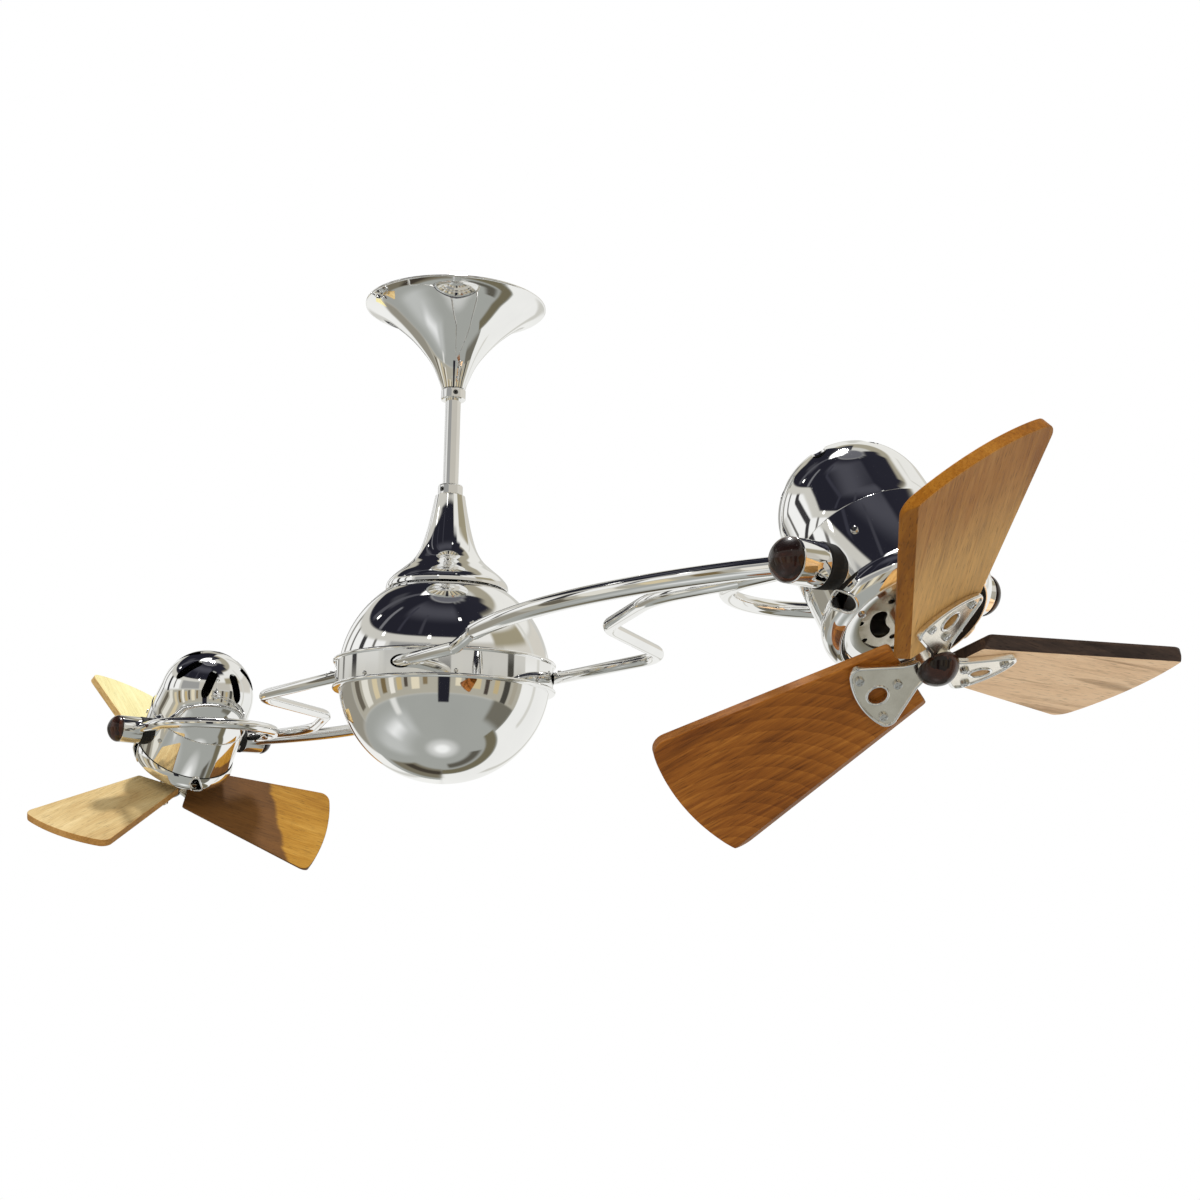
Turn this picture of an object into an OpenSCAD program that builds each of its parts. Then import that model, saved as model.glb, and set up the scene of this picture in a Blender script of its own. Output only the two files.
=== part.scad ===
// Twin head ceiling fan: a ball-shaped hub on a downrod turns about the vertical and carries
// two tilting fan heads on bent tube arms. Millimetres. The origin is the centre of the ceiling
// mounting face, +Z is up and +X runs along the arms to head A.

/* [Overall] */
// Drop from the ceiling to the centre of the ball
ball_drop = 316; // [300:1:420]
// Distance from the vertical axis to each head's tilt axis
arm_reach = 507; // [505:0.5:509]
// Tilt of head A from straight down, outwards
tilt_a = 33.3; // [0:0.1:180]
// Tilt of head B from straight down, outwards
tilt_b = 42.5; // [0:0.1:180]
// Turn of the blades on head A
phase_a = 91.5; // [0:0.1:119.9]
// Turn of the blades on head B
phase_b = 5.7; // [0:0.1:119.9]

/* [Canopy and rod] */
// Radius of the canopy's rim
canopy_r = 75.5; // [70:0.5:85]
// Height of the canopy
canopy_h = 73; // [65:1:80]
// Outer radius of the downrod
rod_r = 6.35; // [6:0.05:6.5]
// Spacing of the two slots for the ceiling box screws
box_spacing = 88.9; // [80:0.1:95]

/* [Ball] */
// Outer radius of the ball
ball_r = 85.5; // [85:0.1:85.8]
// Height of the raised rim at each edge of the band
rim_h = 3; // [2:0.5:4]

/* [Arms] */
// Outer radius of the long curved arm tube
arc_tube_r = 6; // [5.5:0.05:6.1]
// Outer radius of the thinner bent arm tube and of the reduced tube ends
thin_tube_r = 4.75; // [4.5:0.05:4.9]
// Outer radius of the yoke tube
yoke_tube_r = 5.2; // [4.5:0.1:5.2]
// Bend radius of the yoke
yoke_r = 61.8; // [61.8:0.1:63]

/* [Head] */
// Outer radius of the motor shell
shell_r = 49.5; // [49:0.1:50]
// Radius of the slotted rear dome
dome_r = 46.5; // [46:0.1:47]
// Number of slots in the rear dome
dome_slots = 7; // [5:1:8]
// Width of a dome slot
slot_w = 9; // [6:0.5:10]

/* [Fan] */
// Radius that the blade tips sweep
sweep_r = 168.5; // [160:0.5:172]
// Pitch of the blades
pitch = 19.5; // [10:0.1:22]
// Thickness of a wooden blade
blade_t = 7; // [6.5:0.5:9]
// Width of a blade at its root
root_w = 51; // [48:1:54]
// Width of a blade near its tip
tip_w = 104; // [90:1:106]

/* [Hidden] */

// Small overlap that lets a cut run past a face
eps = 0.5;
// Facets on large and on small round forms, for the preview
fine = 96;
small = 32;

// Hanger: heights are below the ceiling
bracket_l = 112;
bracket_w = 30;
bracket_t = 2.5;
slot_end_l = 10;
slot_end_r = 2.6;
hang_ball_r = 16;
hang_ball_z = -28;
cup_r = 20.5;
cup_top = -27;
cup_bottom = -40;
strap_w = 18;
collar_r = 10.2;
collar_h = 9.5;
collar_screw_r = 2;
canopy_t = 1.3;
canopy_neck_r = 9.8;
canopy_collar_z = -canopy_h - collar_h;
canopy_screw_turn = -20;
bell_screw_turn = -73;

// Bell cover and spindle: heights are above the centre of the ball
bell_top = 151;
bell_top_r = 12.3;
bell_t = 1.3;
rod_foot = 118;
socket_r = 11;
socket_top = 142;
socket_bottom = 108;
spindle_r = 8;
wire_r = 3.5;
nut_h = 6;
nut_r = 12;
bearing_h = 9;
bearing_r = 16;
bearing_gap = 18;
race_t = 2.2;
race_ball_r = 1.85;
race_ball_at = 12.1;
race_balls = 9;
ring_z = 36;
ring_pitch = 7;
ring_count = 4;
ring_sleeve_r = 11;
ring_r = 12.5;

// Ball
ball_t = 1.5;
band_h = 9.5;
ball_mouth_r = 15;
band_r = 88;
rim_r = 90;
band_in_r = 84;
plate_t = 4.5;
hub_r = 24;
block_x = 15;
block_y = 9.5;
block_z = 8;
tube_y = 70;
band_screw_r = 1.7;
band_screw_turns = [-75, -25, 25, 75, 105, 155, 205, 255];

// Arms: the bends of each tube, as [straight length] or [bend radius, turn]
wall = 1.2;
arc_hole_r = 4.2;
// Straight pieces are a hair thinner than the bends and run a hair into them
slim = 0.03;
lap = 0.03;
stub_l = 128.6;
jog = 20.5;
jog_r = 16;
jog_l = 64.7;
kick = 5.9;
arc_bend_r = 453;
arc_turn = 39.76;
s_start = 175;
s_turn = 56;
s_bend_r = 48;
s_slope_l = 86;
s_back_r = 45;
s_back = 36;
s_reach_l = 66;
s_sweep_r = 110;
s_sweep = 27;
s_tail_l = 51.5;
yoke_leg = 52;
arm_screw_r = 0.9;
arm_screw_in = 5;

// Tilt pivots, along the tilt axis
barrel_r = 13.5;
barrel_in = 56.5;
barrel_out = 77.5;
bolt_r = 4;
bolt_fit = 0.05;
washer_r = 14;
washer_out = 56.2;
knob_base = 77.8;
knob_h = 11.5;
knob_r = 13.4;

// Head: heights are behind the tilt axis, towards the dome
shell_t = 1.5;
dome_z = 50;
seam_z = 25;
seam_r = 48.8;
front_seam_z = -19;
slot_in_r = 20;
slot_out_r = 37;
window_w = 8.5;
window_l = 16;
window_turn = 36;
lip_r = 45;
lip_z = -35.5;
plate_z = -28;
plate_r = 37;
core_half = 41;
core_top = 12;
core_bottom = -6;
core_bore = 21;
coil_in = 23;
coil_out = 34;
coil_h = 7;
coil_pitch_r = 28.5;
coil_count = 8;
coil_r = 4.2;
spider_z = 22;
shaft_r = 4;
bush_r = 6.5;
bush_fit = 0.03;
screw_az = [60, 120, 240, 300];
shell_screw_z = 7;

// Fan: heights are in front of the tilt axis
blade_z = 63.5;
tip_u = 158;
root_shift = -3.8;
tip_shift = -6.2;
bevel_w = 6.6;
bevel_d = 5;
root_u = 17;
tip_corner_r = 9;
root_corner_r = 3;
edge_cut = 1.4;
iron_t = 3;
iron_rim = 1;
iron_in_u = 15;
iron_in_w = 9;
iron_out_u = 45;
iron_out_w = 21;
iron_nose_u = 49;
iron_hole_u = 37.5;
iron_hole_r = 5.5;
iron_screws = [[41.5, 15.5], [41.5, -15.5], [24.5, 0]];
hub_back = 41;
hub_len = 27;
fan_hub_r = 10.5;
finial_r = 12.5;
finial_h = 12;

function bez(p, t) =
    p[0] * pow(1 - t, 3) + p[1] * 3 * t * pow(1 - t, 2) + p[2] * 3 * t * t * (1 - t) + p[3] * pow(t, 3);
function slope(p, t) =
    (p[1] - p[0]) * 3 * pow(1 - t, 2) + (p[2] - p[1]) * 6 * t * (1 - t) + (p[3] - p[2]) * 3 * t * t;
function beside(p, t, d) = let (s = slope(p, t)) bez(p, t) + [-s[1], s[0]] / norm(s) * d;
function curve(p, n) = [for (i = [0:n]) bez(p, i / n)];
function back_curve(p, n, d) = [for (i = [n:-1:0]) beside(p, i / n, d)];
function at(q, i) = q[max(0, min(len(q) - 1, i))];
function smooth(q, n) = [for (i = [0:len(q) - 2], k = [0:n - 1])
    bez([q[i], q[i] + (at(q, i + 1) - at(q, i - 1)) / 6, q[i + 1] - (at(q, i + 2) - q[i]) / 6,
        q[i + 1]], k / n), q[len(q) - 1]];
function offset_back(q, d) = [for (i = [len(q) - 1:-1:0])
    let (t = at(q, i + 1) - at(q, i - 1)) q[i] + [-t[1], t[0]] / norm(t) * d];
function arc(c, r, a0, a1, n) =
    [for (i = [0:n]) c + r * [cos(a0 + (a1 - a0) * i / n), sin(a0 + (a1 - a0) * i / n)]];

// A shell of revolution that follows a curve, with its wall on one side
module curved_shell(p, n, d) {
    rotate_extrude($fn = fine)
        polygon(concat(curve(p, n), back_curve(p, n, d)));
}

// A thin spun sheet whose outside passes smoothly through the given points
module spun_sheet(q, n, d) {
    outer = smooth(q, n);
    rotate_extrude($fn = fine)
        polygon(concat(outer, offset_back(outer, d)));
}

// A radial hole or pin at a given turn and height
module radial(turn, z, r, from, to) {
    rotate([0, 0, turn])
        translate([from, 0, z])
            rotate([0, 90, 0])
                cylinder(r = r, h = to - from, $fn = small);
}

module ring(outer, inner, z0, z1) {
    translate([0, 0, z0])
        difference() {
            cylinder(r = outer, h = z1 - z0, $fn = fine);
            translate([0, 0, -eps])
                cylinder(r = inner, h = z1 - z0 + 2 * eps, $fn = fine);
        }
}

// A flat outline with rounded corners: points in order, each with its own corner radius
module rounded_outline(pts, radii) {
    n = len(pts);
    polygon([for (i = [0:n - 1])
        let (
            a = pts[(i + n - 1) % n] - pts[i],
            b = pts[(i + 1) % n] - pts[i],
            ua = a / norm(a),
            ub = b / norm(b),
            half = acos(ua * ub) / 2,
            bis = (ua + ub) / norm(ua + ub),
            c = pts[i] + bis * radii[i] / sin(half),
            f = pts[i] + ua * radii[i] / tan(half) - c,
            g = pts[i] + ub * radii[i] / tan(half) - c,
            a0 = atan2(f[1], f[0]),
            raw = atan2(g[1], g[0]) - a0,
            turn = raw > 180 ? raw - 360 : (raw < -180 ? raw + 360 : raw)
        )
        for (k = [0:6]) c + radii[i] * [cos(a0 + turn * k / 6), sin(a0 + turn * k / 6)]]);
}

module wall_profile(r, hole) {
    difference() {
        circle(r = r, $fn = small);
        if (hole > 0)
            circle(r = hole, $fn = small);
    }
}

// One piece of bent tube along +X, then the next piece at its end
module tube_run(segs, r, hole = 0, i = 0) {
    if (i < len(segs)) {
        s = segs[i];
        if (len(s) == 1) {
            rotate([0, 90, 0])
                translate([0, 0, -lap])
                    linear_extrude(s[0] + 2 * lap)
                        wall_profile(r - slim, hole > 0 ? hole + slim : 0);
            translate([s[0], 0, 0])
                tube_run(segs, r, hole, i + 1);
        } else {
            side = s[1] > 0 ? 1 : -1;
            translate([0, side * s[0], 0])
                rotate([0, 0, side > 0 ? -90 : 90 + s[1]])
                    rotate_extrude(angle = abs(s[1]), $fn = max(fine, round(s[0] * 0.8)))
                        translate([s[0], 0])
                            wall_profile(r, hole);
            translate([s[0] * sin(abs(s[1])), side * s[0] * (1 - cos(s[1])), 0])
                rotate([0, 0, s[1]])
                    tube_run(segs, r, hole, i + 1);
        }
    }
}

module at_ball() {
    translate([0, 0, -ball_drop])
        children();
}

// Side A stays as drawn, side B is turned half a turn about the vertical
module side(b) {
    at_ball()
        rotate([0, 0, b ? 180 : 0])
            children();
}

module in_head(b) {
    side(b)
        translate([arm_reach, 0, 0])
            rotate([0, b ? -tilt_b : -tilt_a, 0])
                children();
}

module in_fan(b) {
    in_head(b)
        rotate([0, 0, b ? phase_b : phase_a])
            children();
}

// ---- hanger ----

module ceiling_bracket() {
    color("silver")
        difference() {
            union() {
                translate([-bracket_l / 2, -bracket_w / 2, -bracket_t])
                    cube([bracket_l, bracket_w, bracket_t]);
                translate([0, 0, cup_bottom])
                    cylinder(r = cup_r, h = cup_top - cup_bottom, $fn = fine);
                for (s = [-1, 1])
                    translate([s * (cup_r - 1.6) - 1.25, -strap_w / 2, cup_bottom])
                        cube([2.5, strap_w, -cup_bottom - bracket_t]);
            }
            translate([0, 0, hang_ball_z])
                sphere(r = hang_ball_r, $fn = fine);
            translate([0, 0, cup_bottom - eps])
                cylinder(r = 12, h = 12, $fn = small);
            translate([-rod_r - 0.6, -cup_r - eps, cup_bottom - eps])
                cube([2 * rod_r + 1.2, cup_r, cup_top - cup_bottom + 2 * eps]);
            translate([0, 0, -bracket_t - eps])
                cylinder(r = 10, h = bracket_t + 2 * eps, $fn = small);
            for (s = [-1, 1])
                translate([s * box_spacing / 2, 0, -bracket_t - eps])
                    linear_extrude(bracket_t + 2 * eps) {
                        square([slot_end_l - 2 * slot_end_r, 2 * slot_end_r], center = true);
                        for (e = [-1, 1])
                            translate([e * (slot_end_l / 2 - slot_end_r), 0])
                                circle(r = slot_end_r, $fn = small);
                    }
        }
}

module hanger_ball() {
    color("dimgray")
        difference() {
            translate([0, 0, hang_ball_z])
                sphere(r = hang_ball_r, $fn = fine);
            translate([0, 0, cup_bottom - 10])
                cylinder(r = 20, h = 10, $fn = small);
            translate([0, 0, hang_ball_z - 20])
                cylinder(r = rod_r, h = 40, $fn = small);
            radial(0, hang_ball_z + 9, collar_screw_r, 0, 20);
        }
}

canopy_p = [[canopy_r, -1.5], [66, -canopy_h * 0.07], [54, -canopy_h * 0.178], [36, -canopy_h * 0.397],
    [20, -canopy_h * 0.671], [12.2, -canopy_h * 0.9], [canopy_neck_r, -canopy_h]];

module canopy() {
    color("gainsboro") {
        difference() {
            union() {
                spun_sheet(canopy_p, 5, -canopy_t);
                ring(canopy_r, canopy_r - 3.5, -1.9, -0.2);
            }
            translate([0, 0, -canopy_h - 5])
                cylinder(r = rod_r + 0.8, h = 60, $fn = small);
        }
    }
}

module collar(z, turn) {
    difference() {
        translate([0, 0, z])
            rotate_extrude($fn = fine)
                polygon(concat(
                    [[rod_r, 0], [collar_r - 0.8, 0]],
                    arc([collar_r - 1.2, 1.2], 1.2, -60, 0, 4),
                    arc([collar_r - 1.6, collar_h - 1.6], 1.6, 0, 80, 5),
                    [[rod_r, collar_h]]));
        radial(turn, z + collar_h / 2, collar_screw_r, 0, collar_r + 1);
    }
}

module rod_collars() {
    color("gainsboro") {
        collar(canopy_collar_z, canopy_screw_turn);
        collar(bell_top - ball_drop, bell_screw_turn);
    }
}

module grub(turn, z, from, len) {
    difference() {
        radial(turn, z, collar_screw_r, from, from + len);
        radial(turn, z, 0.9, from + len - 1.8, from + len + 1);
    }
}

module set_screws() {
    color("dimgray") {
        grub(canopy_screw_turn, canopy_collar_z + collar_h / 2, rod_r, 3.4);
        grub(bell_screw_turn, bell_top - ball_drop + collar_h / 2, rod_r, 3.4);
        grub(0, hang_ball_z + 9, rod_r, 5);
        grub(40, socket_top - 9 - ball_drop, rod_r, 4.2);
    }
}

module downrod() {
    color("gainsboro")
        ring(rod_r, rod_r - 1.5, rod_foot - ball_drop, hang_ball_z + 14);
}

bell_p = [[bell_top_r, bell_top], [14.6, 138], [18.3, 121], [22.9, 106], [28.8, 96], [36.2, 89],
    [44.2, 82.2], [48.9, 76.5], [50, 71.5]];

module bell_cover() {
    color("gainsboro")
        at_ball() {
            spun_sheet(bell_p, 4, -bell_t);
            ring(bell_top_r, rod_r, bell_top - 2, bell_top);
        }
}

module spindle() {
    color("slategray")
        at_ball()
            difference() {
                union() {
                    translate([0, 0, socket_bottom])
                        cylinder(r = socket_r, h = socket_top - socket_bottom, $fn = fine);
                    translate([0, 0, -bearing_gap - bearing_h - nut_h - 1])
                        cylinder(r = spindle_r, h = socket_bottom + bearing_gap + bearing_h + nut_h + 2,
                            $fn = fine);
                    translate([0, 0, bearing_gap + bearing_h])
                        cylinder(r = spindle_r + 2, h = 5, $fn = fine);
                }
                translate([0, 0, rod_foot])
                    cylinder(r = rod_r, h = 60, $fn = small);
                translate([0, 0, -60])
                    cylinder(r = wire_r, h = 300, $fn = small);
                radial(40, socket_top - 9, collar_screw_r, 0, 20);
                radial(200, ring_z + 12, 2.5, 0, 20);
            }
}

module spindle_nut() {
    color("silver")
        at_ball()
            difference() {
                translate([0, 0, -bearing_gap - bearing_h - nut_h])
                    linear_extrude(nut_h)
                        polygon([for (i = [0:5]) nut_r * [cos(60 * i), sin(60 * i)]]);
                translate([0, 0, -60])
                    cylinder(r = spindle_r, h = 60, $fn = fine);
            }
}

module bearing_inner_races() {
    color("silver")
        at_ball()
            for (z = [bearing_gap, -bearing_gap - bearing_h])
                ring(spindle_r + race_t, spindle_r, z, z + bearing_h);
}

// Each outer race holds its balls, which run a hair clear of the inner race
module bearing_outer_races() {
    color("silver")
        at_ball()
            for (z = [bearing_gap, -bearing_gap - bearing_h]) {
                ring(bearing_r, bearing_r - race_t, z, z + bearing_h);
                for (i = [0:race_balls - 1])
                    rotate([0, 0, i * 360 / race_balls])
                        translate([race_ball_at, 0, z + bearing_h / 2])
                            sphere(r = race_ball_r, $fn = small);
            }
}

module slip_rings() {
    color("peru")
        at_ball() {
            difference() {
                ring(ring_sleeve_r, spindle_r, ring_z - 4, ring_z + ring_pitch * ring_count);
                for (i = [0:ring_count - 1])
                    ring(ring_sleeve_r + 1, ring_sleeve_r - 1, ring_z + i * ring_pitch,
                        ring_z + i * ring_pitch + 4);
            }
            for (i = [0:ring_count - 1])
                ring(ring_r, ring_sleeve_r - 1, ring_z + i * ring_pitch, ring_z + i * ring_pitch + 4);
        }
}

// ---- turning ball and arms ----

module hemisphere() {
    difference() {
        sphere(r = ball_r, $fn = fine);
        sphere(r = ball_r - ball_t, $fn = fine);
        translate([0, 0, -ball_r - 1])
            cylinder(r = ball_r + 1, h = ball_r + 1 + band_h, $fn = fine);
    }
}

module upper_hemisphere() {
    color("gainsboro")
        at_ball()
            difference() {
                hemisphere();
                translate([0, 0, ball_r - 20])
                    cylinder(r = ball_mouth_r, h = 30, $fn = small);
            }
}

module lower_hemisphere() {
    color("gainsboro")
        at_ball()
            mirror([0, 0, 1])
                hemisphere();
}

// Straight inner ends of the four arm tubes, used to cut their holes
module tube_cuts() {
    for (s = [-1, 1])
        translate([-ball_r - 20, s * tube_y, 0])
            rotate([0, 90, 0])
                cylinder(r = thin_tube_r, h = 2 * ball_r + 40, $fn = small);
}

module equator_band() {
    color("gainsboro")
        at_ball()
            difference() {
                union() {
                    ring(band_r, band_in_r, -band_h, band_h);
                    for (s = [0, 1])
                        mirror([0, 0, s])
                            rotate_extrude($fn = fine)
                                polygon(concat(
                                    [[band_in_r, band_h]],
                                    [[band_r, band_h - 0.6]],
                                    arc([rim_r - rim_h / 2, band_h + rim_h / 2 - 0.3], rim_h / 2, -80, 80, 8),
                                    [[band_in_r, band_h + rim_h - 0.3]]));
                }
                difference() {
                    sphere(r = ball_r, $fn = fine);
                    translate([0, 0, -band_h])
                        cylinder(r = ball_r + 1, h = 2 * band_h, $fn = fine);
                }
                tube_cuts();
                for (a = band_screw_turns)
                    radial(a, -band_h + plate_t / 2, 1.25, 70, 95);
            }
}

module carrier() {
    color("darkgray")
        at_ball()
            difference() {
                union() {
                    translate([0, 0, -bearing_gap - bearing_h + 0.5])
                        cylinder(r = hub_r, h = 2 * (bearing_gap + bearing_h) - 1, $fn = fine);
                    translate([0, 0, -band_h])
                        cylinder(r = band_in_r, h = plate_t, $fn = fine);
                    for (s = [-1, 1])
                        translate([-block_x, s > 0 ? tube_y - block_y : -tube_y - 7.5, -band_h])
                            cube([2 * block_x, block_y + 7.5, band_h + block_z]);
                    for (a = [0, 90])
                        rotate([0, 0, a])
                            translate([-70, -2, -band_h])
                                cube([140, 4, band_h + 4]);
                }
                tube_cuts();
                translate([0, 0, -60])
                    cylinder(r = 13, h = 120, $fn = fine);
                translate([0, 0, bearing_gap])
                    cylinder(r = bearing_r, h = 40, $fn = fine);
                translate([0, 0, -bearing_gap - 40])
                    cylinder(r = bearing_r, h = 40, $fn = fine);
                for (a = [45:90:315])
                    rotate([0, 0, a])
                        translate([50, 0, -band_h - eps])
                            cylinder(r = 16, h = plate_t + 2 * eps, $fn = small);
                for (a = band_screw_turns)
                    radial(a, -band_h + plate_t / 2, 1.25, 76, 95);
            }
}

module brush_holder() {
    color("saddlebrown")
        at_ball() {
            difference() {
                translate([ring_r + 1, -6, bearing_gap + bearing_h - 0.5])
                    cube([9, 12, ring_z + ring_pitch * ring_count - bearing_gap - bearing_h]);
                for (i = [0:ring_count - 1])
                    translate([ring_r, 0, ring_z + i * ring_pitch + 2])
                        rotate([0, 90, 0])
                            cylinder(r = 1.5, h = 7, $fn = small);
                translate([0, 0, 0])
                    cylinder(r = bearing_r, h = bearing_gap + bearing_h + 0.5, $fn = fine);
            }
            for (i = [0:ring_count - 1])
                translate([ring_r + 0.35, 0, ring_z + i * ring_pitch + 2])
                    rotate([0, 90, 0])
                        cylinder(r = 1.5, h = 6.5, $fn = small);
        }
}

// One pan head screw whose shank points along -z
module pan_screw(len, head_r = 2.3) {
    translate([0, 0, -len])
        cylinder(r = 1.25, h = len, $fn = small);
    rotate_extrude($fn = small)
        polygon(concat([[0, 0], [head_r, 0]], arc([head_r - 0.8, 0.5], 0.8, 0, 90, 4), [[0, 1.3]]));
}

// Places of the small screws that clamp the arm tubes, as the outside of each tube's wall
module on_arc_clamp() {
    at_joint()
        translate([arm_screw_in, 0, 0])
            for (a = [30, 90, 150])
                rotate([a, 0, 0])
                    translate([0, 0, arc_tube_r])
                        children();
}

module on_s_clamp() {
    for (a = [-30, -90, -150])
        translate([62, tube_y, 0])
            rotate([a + 90, 0, 0])
                translate([0, 0, thin_tube_r])
                    children();
}

module arm_screw_holes() {
    translate([0, 0, -3.5])
        cylinder(r = arm_screw_r, h = 5, $fn = small);
}

module arm_screw() {
    translate([0, 0, -1])
        cylinder(r = arm_screw_r, h = 1, $fn = small);
    cylinder(r = 1.6, h = 0.8, $fn = small);
}

module band_screws() {
    color("silver")
        at_ball()
            for (a = band_screw_turns)
                rotate([0, 0, a])
                    translate([band_r, 0, -band_h + plate_t / 2])
                        rotate([0, 90, 0])
                            pan_screw(9, band_screw_r);
}

module ball_and_arm_screws() {
    band_screws();
    arm_screws();
}

module arm_screws() {
    color("silver")
        for (b = [false, true])
            side(b) {
                on_arc_clamp()
                    arm_screw();
                on_s_clamp()
                    arm_screw();
            }
}

arc_thin = [[stub_l], [jog_r, -jog], [jog_l], [jog_r, kick]];
arc_thick = [[arc_bend_r, arc_turn]];

// Where the thick part of the curved arm begins
module at_joint() {
    translate([0.5, -tube_y, 0])
        translate([stub_l, 0, 0])
            translate([jog_r * sin(jog), -jog_r * (1 - cos(jog)), 0])
                rotate([0, 0, -jog])
                    translate([jog_l + jog_r * sin(kick), jog_r * (1 - cos(kick)), 0])
                        rotate([0, 0, kick])
                            children();
}

module barrels(r) {
    for (s = [-1, 1])
        translate([arm_reach, s > 0 ? barrel_in : -barrel_out, 0])
            rotate([-90, 0, 0])
                cylinder(r = r, h = barrel_out - barrel_in, $fn = fine);
}

module arc_tube(b) {
    color("gainsboro")
        side(b)
            difference() {
                union() {
                    translate([0.5, -tube_y, 0])
                        tube_run(arc_thin, thin_tube_r, thin_tube_r - wall);
                    at_joint()
                        translate([-lap, 0, 0])
                            tube_run(arc_thick, arc_tube_r, arc_hole_r);
                }
                barrels(barrel_r);
                yoke_tube(yoke_tube_r);
                on_arc_clamp()
                    arm_screw_holes();
            }
}

module arc_tube_a() {
    arc_tube(false);
}

module arc_tube_b() {
    arc_tube(true);
}

s_bends = [[s_start], [s_bend_r, -s_turn], [s_slope_l], [s_back_r, s_back], [s_reach_l],
    [s_sweep_r, s_sweep], [s_tail_l]];

module s_tube(b) {
    color("gainsboro")
        side(b)
            difference() {
                translate([0.5, tube_y, 0])
                    tube_run(s_bends, thin_tube_r, thin_tube_r - wall);
                yoke_tube(yoke_tube_r);
                on_s_clamp()
                    arm_screw_holes();
            }
}

module s_tube_a() {
    s_tube(false);
}

module s_tube_b() {
    s_tube(true);
}

module yoke_tube(r) {
    translate([arm_reach, -yoke_r, 0])
        rotate([0, 0, 180])
            tube_run([[yoke_leg], [yoke_r, -180], [yoke_leg]], r);
}

module yoke(b) {
    color("gainsboro")
        side(b)
            difference() {
                union() {
                    yoke_tube(yoke_tube_r);
                    for (s = [0, 1])
                        mirror([0, s, 0])
                            translate([arm_reach, 0, 0])
                                rotate([90, 0, 0])
                                    rotate_extrude($fn = fine)
                                        polygon(concat(
                                            [[bolt_r, barrel_in]],
                                            arc([barrel_r - 1, barrel_in + 1], 1, -90, 0, 4),
                                            arc([barrel_r - 1, barrel_out - 1], 1, 0, 90, 4),
                                            [[bolt_r, barrel_out]]));
                }
                translate([arm_reach, -100, 0])
                    rotate([-90, 0, 0])
                        cylinder(r = bolt_r + bolt_fit, h = 200, $fn = small);
            }
}

module yoke_a() {
    yoke(false);
}

module yoke_b() {
    yoke(true);
}

// ---- heads ----

module dome_body(d) {
    rotate_extrude($fn = fine)
        polygon(concat(
            [[0, seam_z], [seam_r - d, seam_z]],
            [for (p = arc([0, dome_z], dome_r - d, 0, 90, 24)) p],
            [[0, dome_z + dome_r - d]]));
}

module rear_dome(b) {
    color("gainsboro")
        in_head(b)
            difference() {
                dome_body(0);
                translate([0, 0, -0.01])
                    dome_body(shell_t);
                for (i = [0:dome_slots - 1])
                    rotate([0, 0, -5 - i * 360 / dome_slots])
                        translate([0, 0, dome_z + 8]) {
                            translate([slot_in_r + slot_w / 2, -slot_w / 2, 0])
                                cube([slot_out_r - slot_in_r - slot_w / 2, slot_w, 60]);
                            for (r = [slot_in_r + slot_w / 2, slot_out_r])
                                translate([r, 0, 0])
                                    cylinder(r = slot_w / 2, h = 60, $fn = small);
                        }
            }
}

module rear_dome_a() {
    rear_dome(false);
}

module rear_dome_b() {
    rear_dome(true);
}

module shell_holes() {
    for (a = screw_az)
        radial(a, shell_screw_z, 1.25, 40, 60);
}

module mid_shell(b) {
    color("gainsboro")
        in_head(b)
            difference() {
                union() {
                    ring(shell_r, shell_r - shell_t, front_seam_z, seam_z);
                    ring(shell_r - shell_t / 2, 44, spider_z, seam_z);
                    for (a = [0:90:270])
                        rotate([0, 0, a + 45])
                            translate([0, -3, spider_z])
                                cube([46, 6, seam_z - spider_z]);
                    translate([0, 0, spider_z - 1])
                        cylinder(r = 10, h = 6, $fn = small);
                }
                translate([0, 0, spider_z - 2])
                    cylinder(r = bush_r, h = 20, $fn = small);
                for (s = [90, 270])
                    radial(s, 0, bolt_r, 30, 60);
                shell_holes();
            }
}

module mid_shell_a() {
    mid_shell(false);
}

module mid_shell_b() {
    mid_shell(true);
}

cap_p = [[shell_r + 0.8, front_seam_z + 1], [54, -26], [52.4, -32.5], [lip_r + 1, lip_z]];
bowl_p = [[lip_r - 0.2, lip_z], [lip_r - 2, -31], [lip_r - 5, plate_z - 1.2], [plate_r, plate_z - 1]];

// A round-ended opening, cut from just inside the cap's skin outwards
module window() {
    across = window_l - window_w;
    translate([-across / 2, -window_w / 2, -1])
        cube([across, window_w, 20]);
    for (x = [-across / 2, across / 2])
        translate([x, 0, -1])
            cylinder(r = window_w / 2, h = 20, $fn = small);
}

module front_cap(b) {
    color("gainsboro")
        in_head(b)
            difference() {
                union() {
                    curved_shell(cap_p, 14, -shell_t);
                    ring(shell_r + 0.8, shell_r - shell_t, front_seam_z - 2, front_seam_z);
                    rotate_extrude($fn = fine)
                        polygon(concat([[lip_r + 1.4, lip_z - 0.1], [lip_r + 0.6, lip_z - 0.5]],
                            curve(bowl_p, 10),
                            [[31, plate_z - 1], [31, plate_z], [plate_r + 1, plate_z]],
                            back_curve(bowl_p, 10, -1), [[lip_r + 1.2, lip_z + 1]]));
                }
                cylinder(r = shell_r, h = -2 * front_seam_z, center = true, $fn = fine);
                for (a = [0:90:270])
                    rotate([0, 0, a])
                        translate([46, 0, -25.1])
                            rotate([0, 112, 0])
                                rotate([0, 0, window_turn])
                                    window();
                plate_screw_holes();
            }
}

module front_cap_a() {
    front_cap(false);
}

module front_cap_b() {
    front_cap(true);
}

module plate_screw_holes() {
    for (a = [20, 140, 260])
        rotate([0, 0, a])
            translate([33, 0, plate_z - 2])
                cylinder(r = 1.25, h = 5, $fn = small);
}

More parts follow.
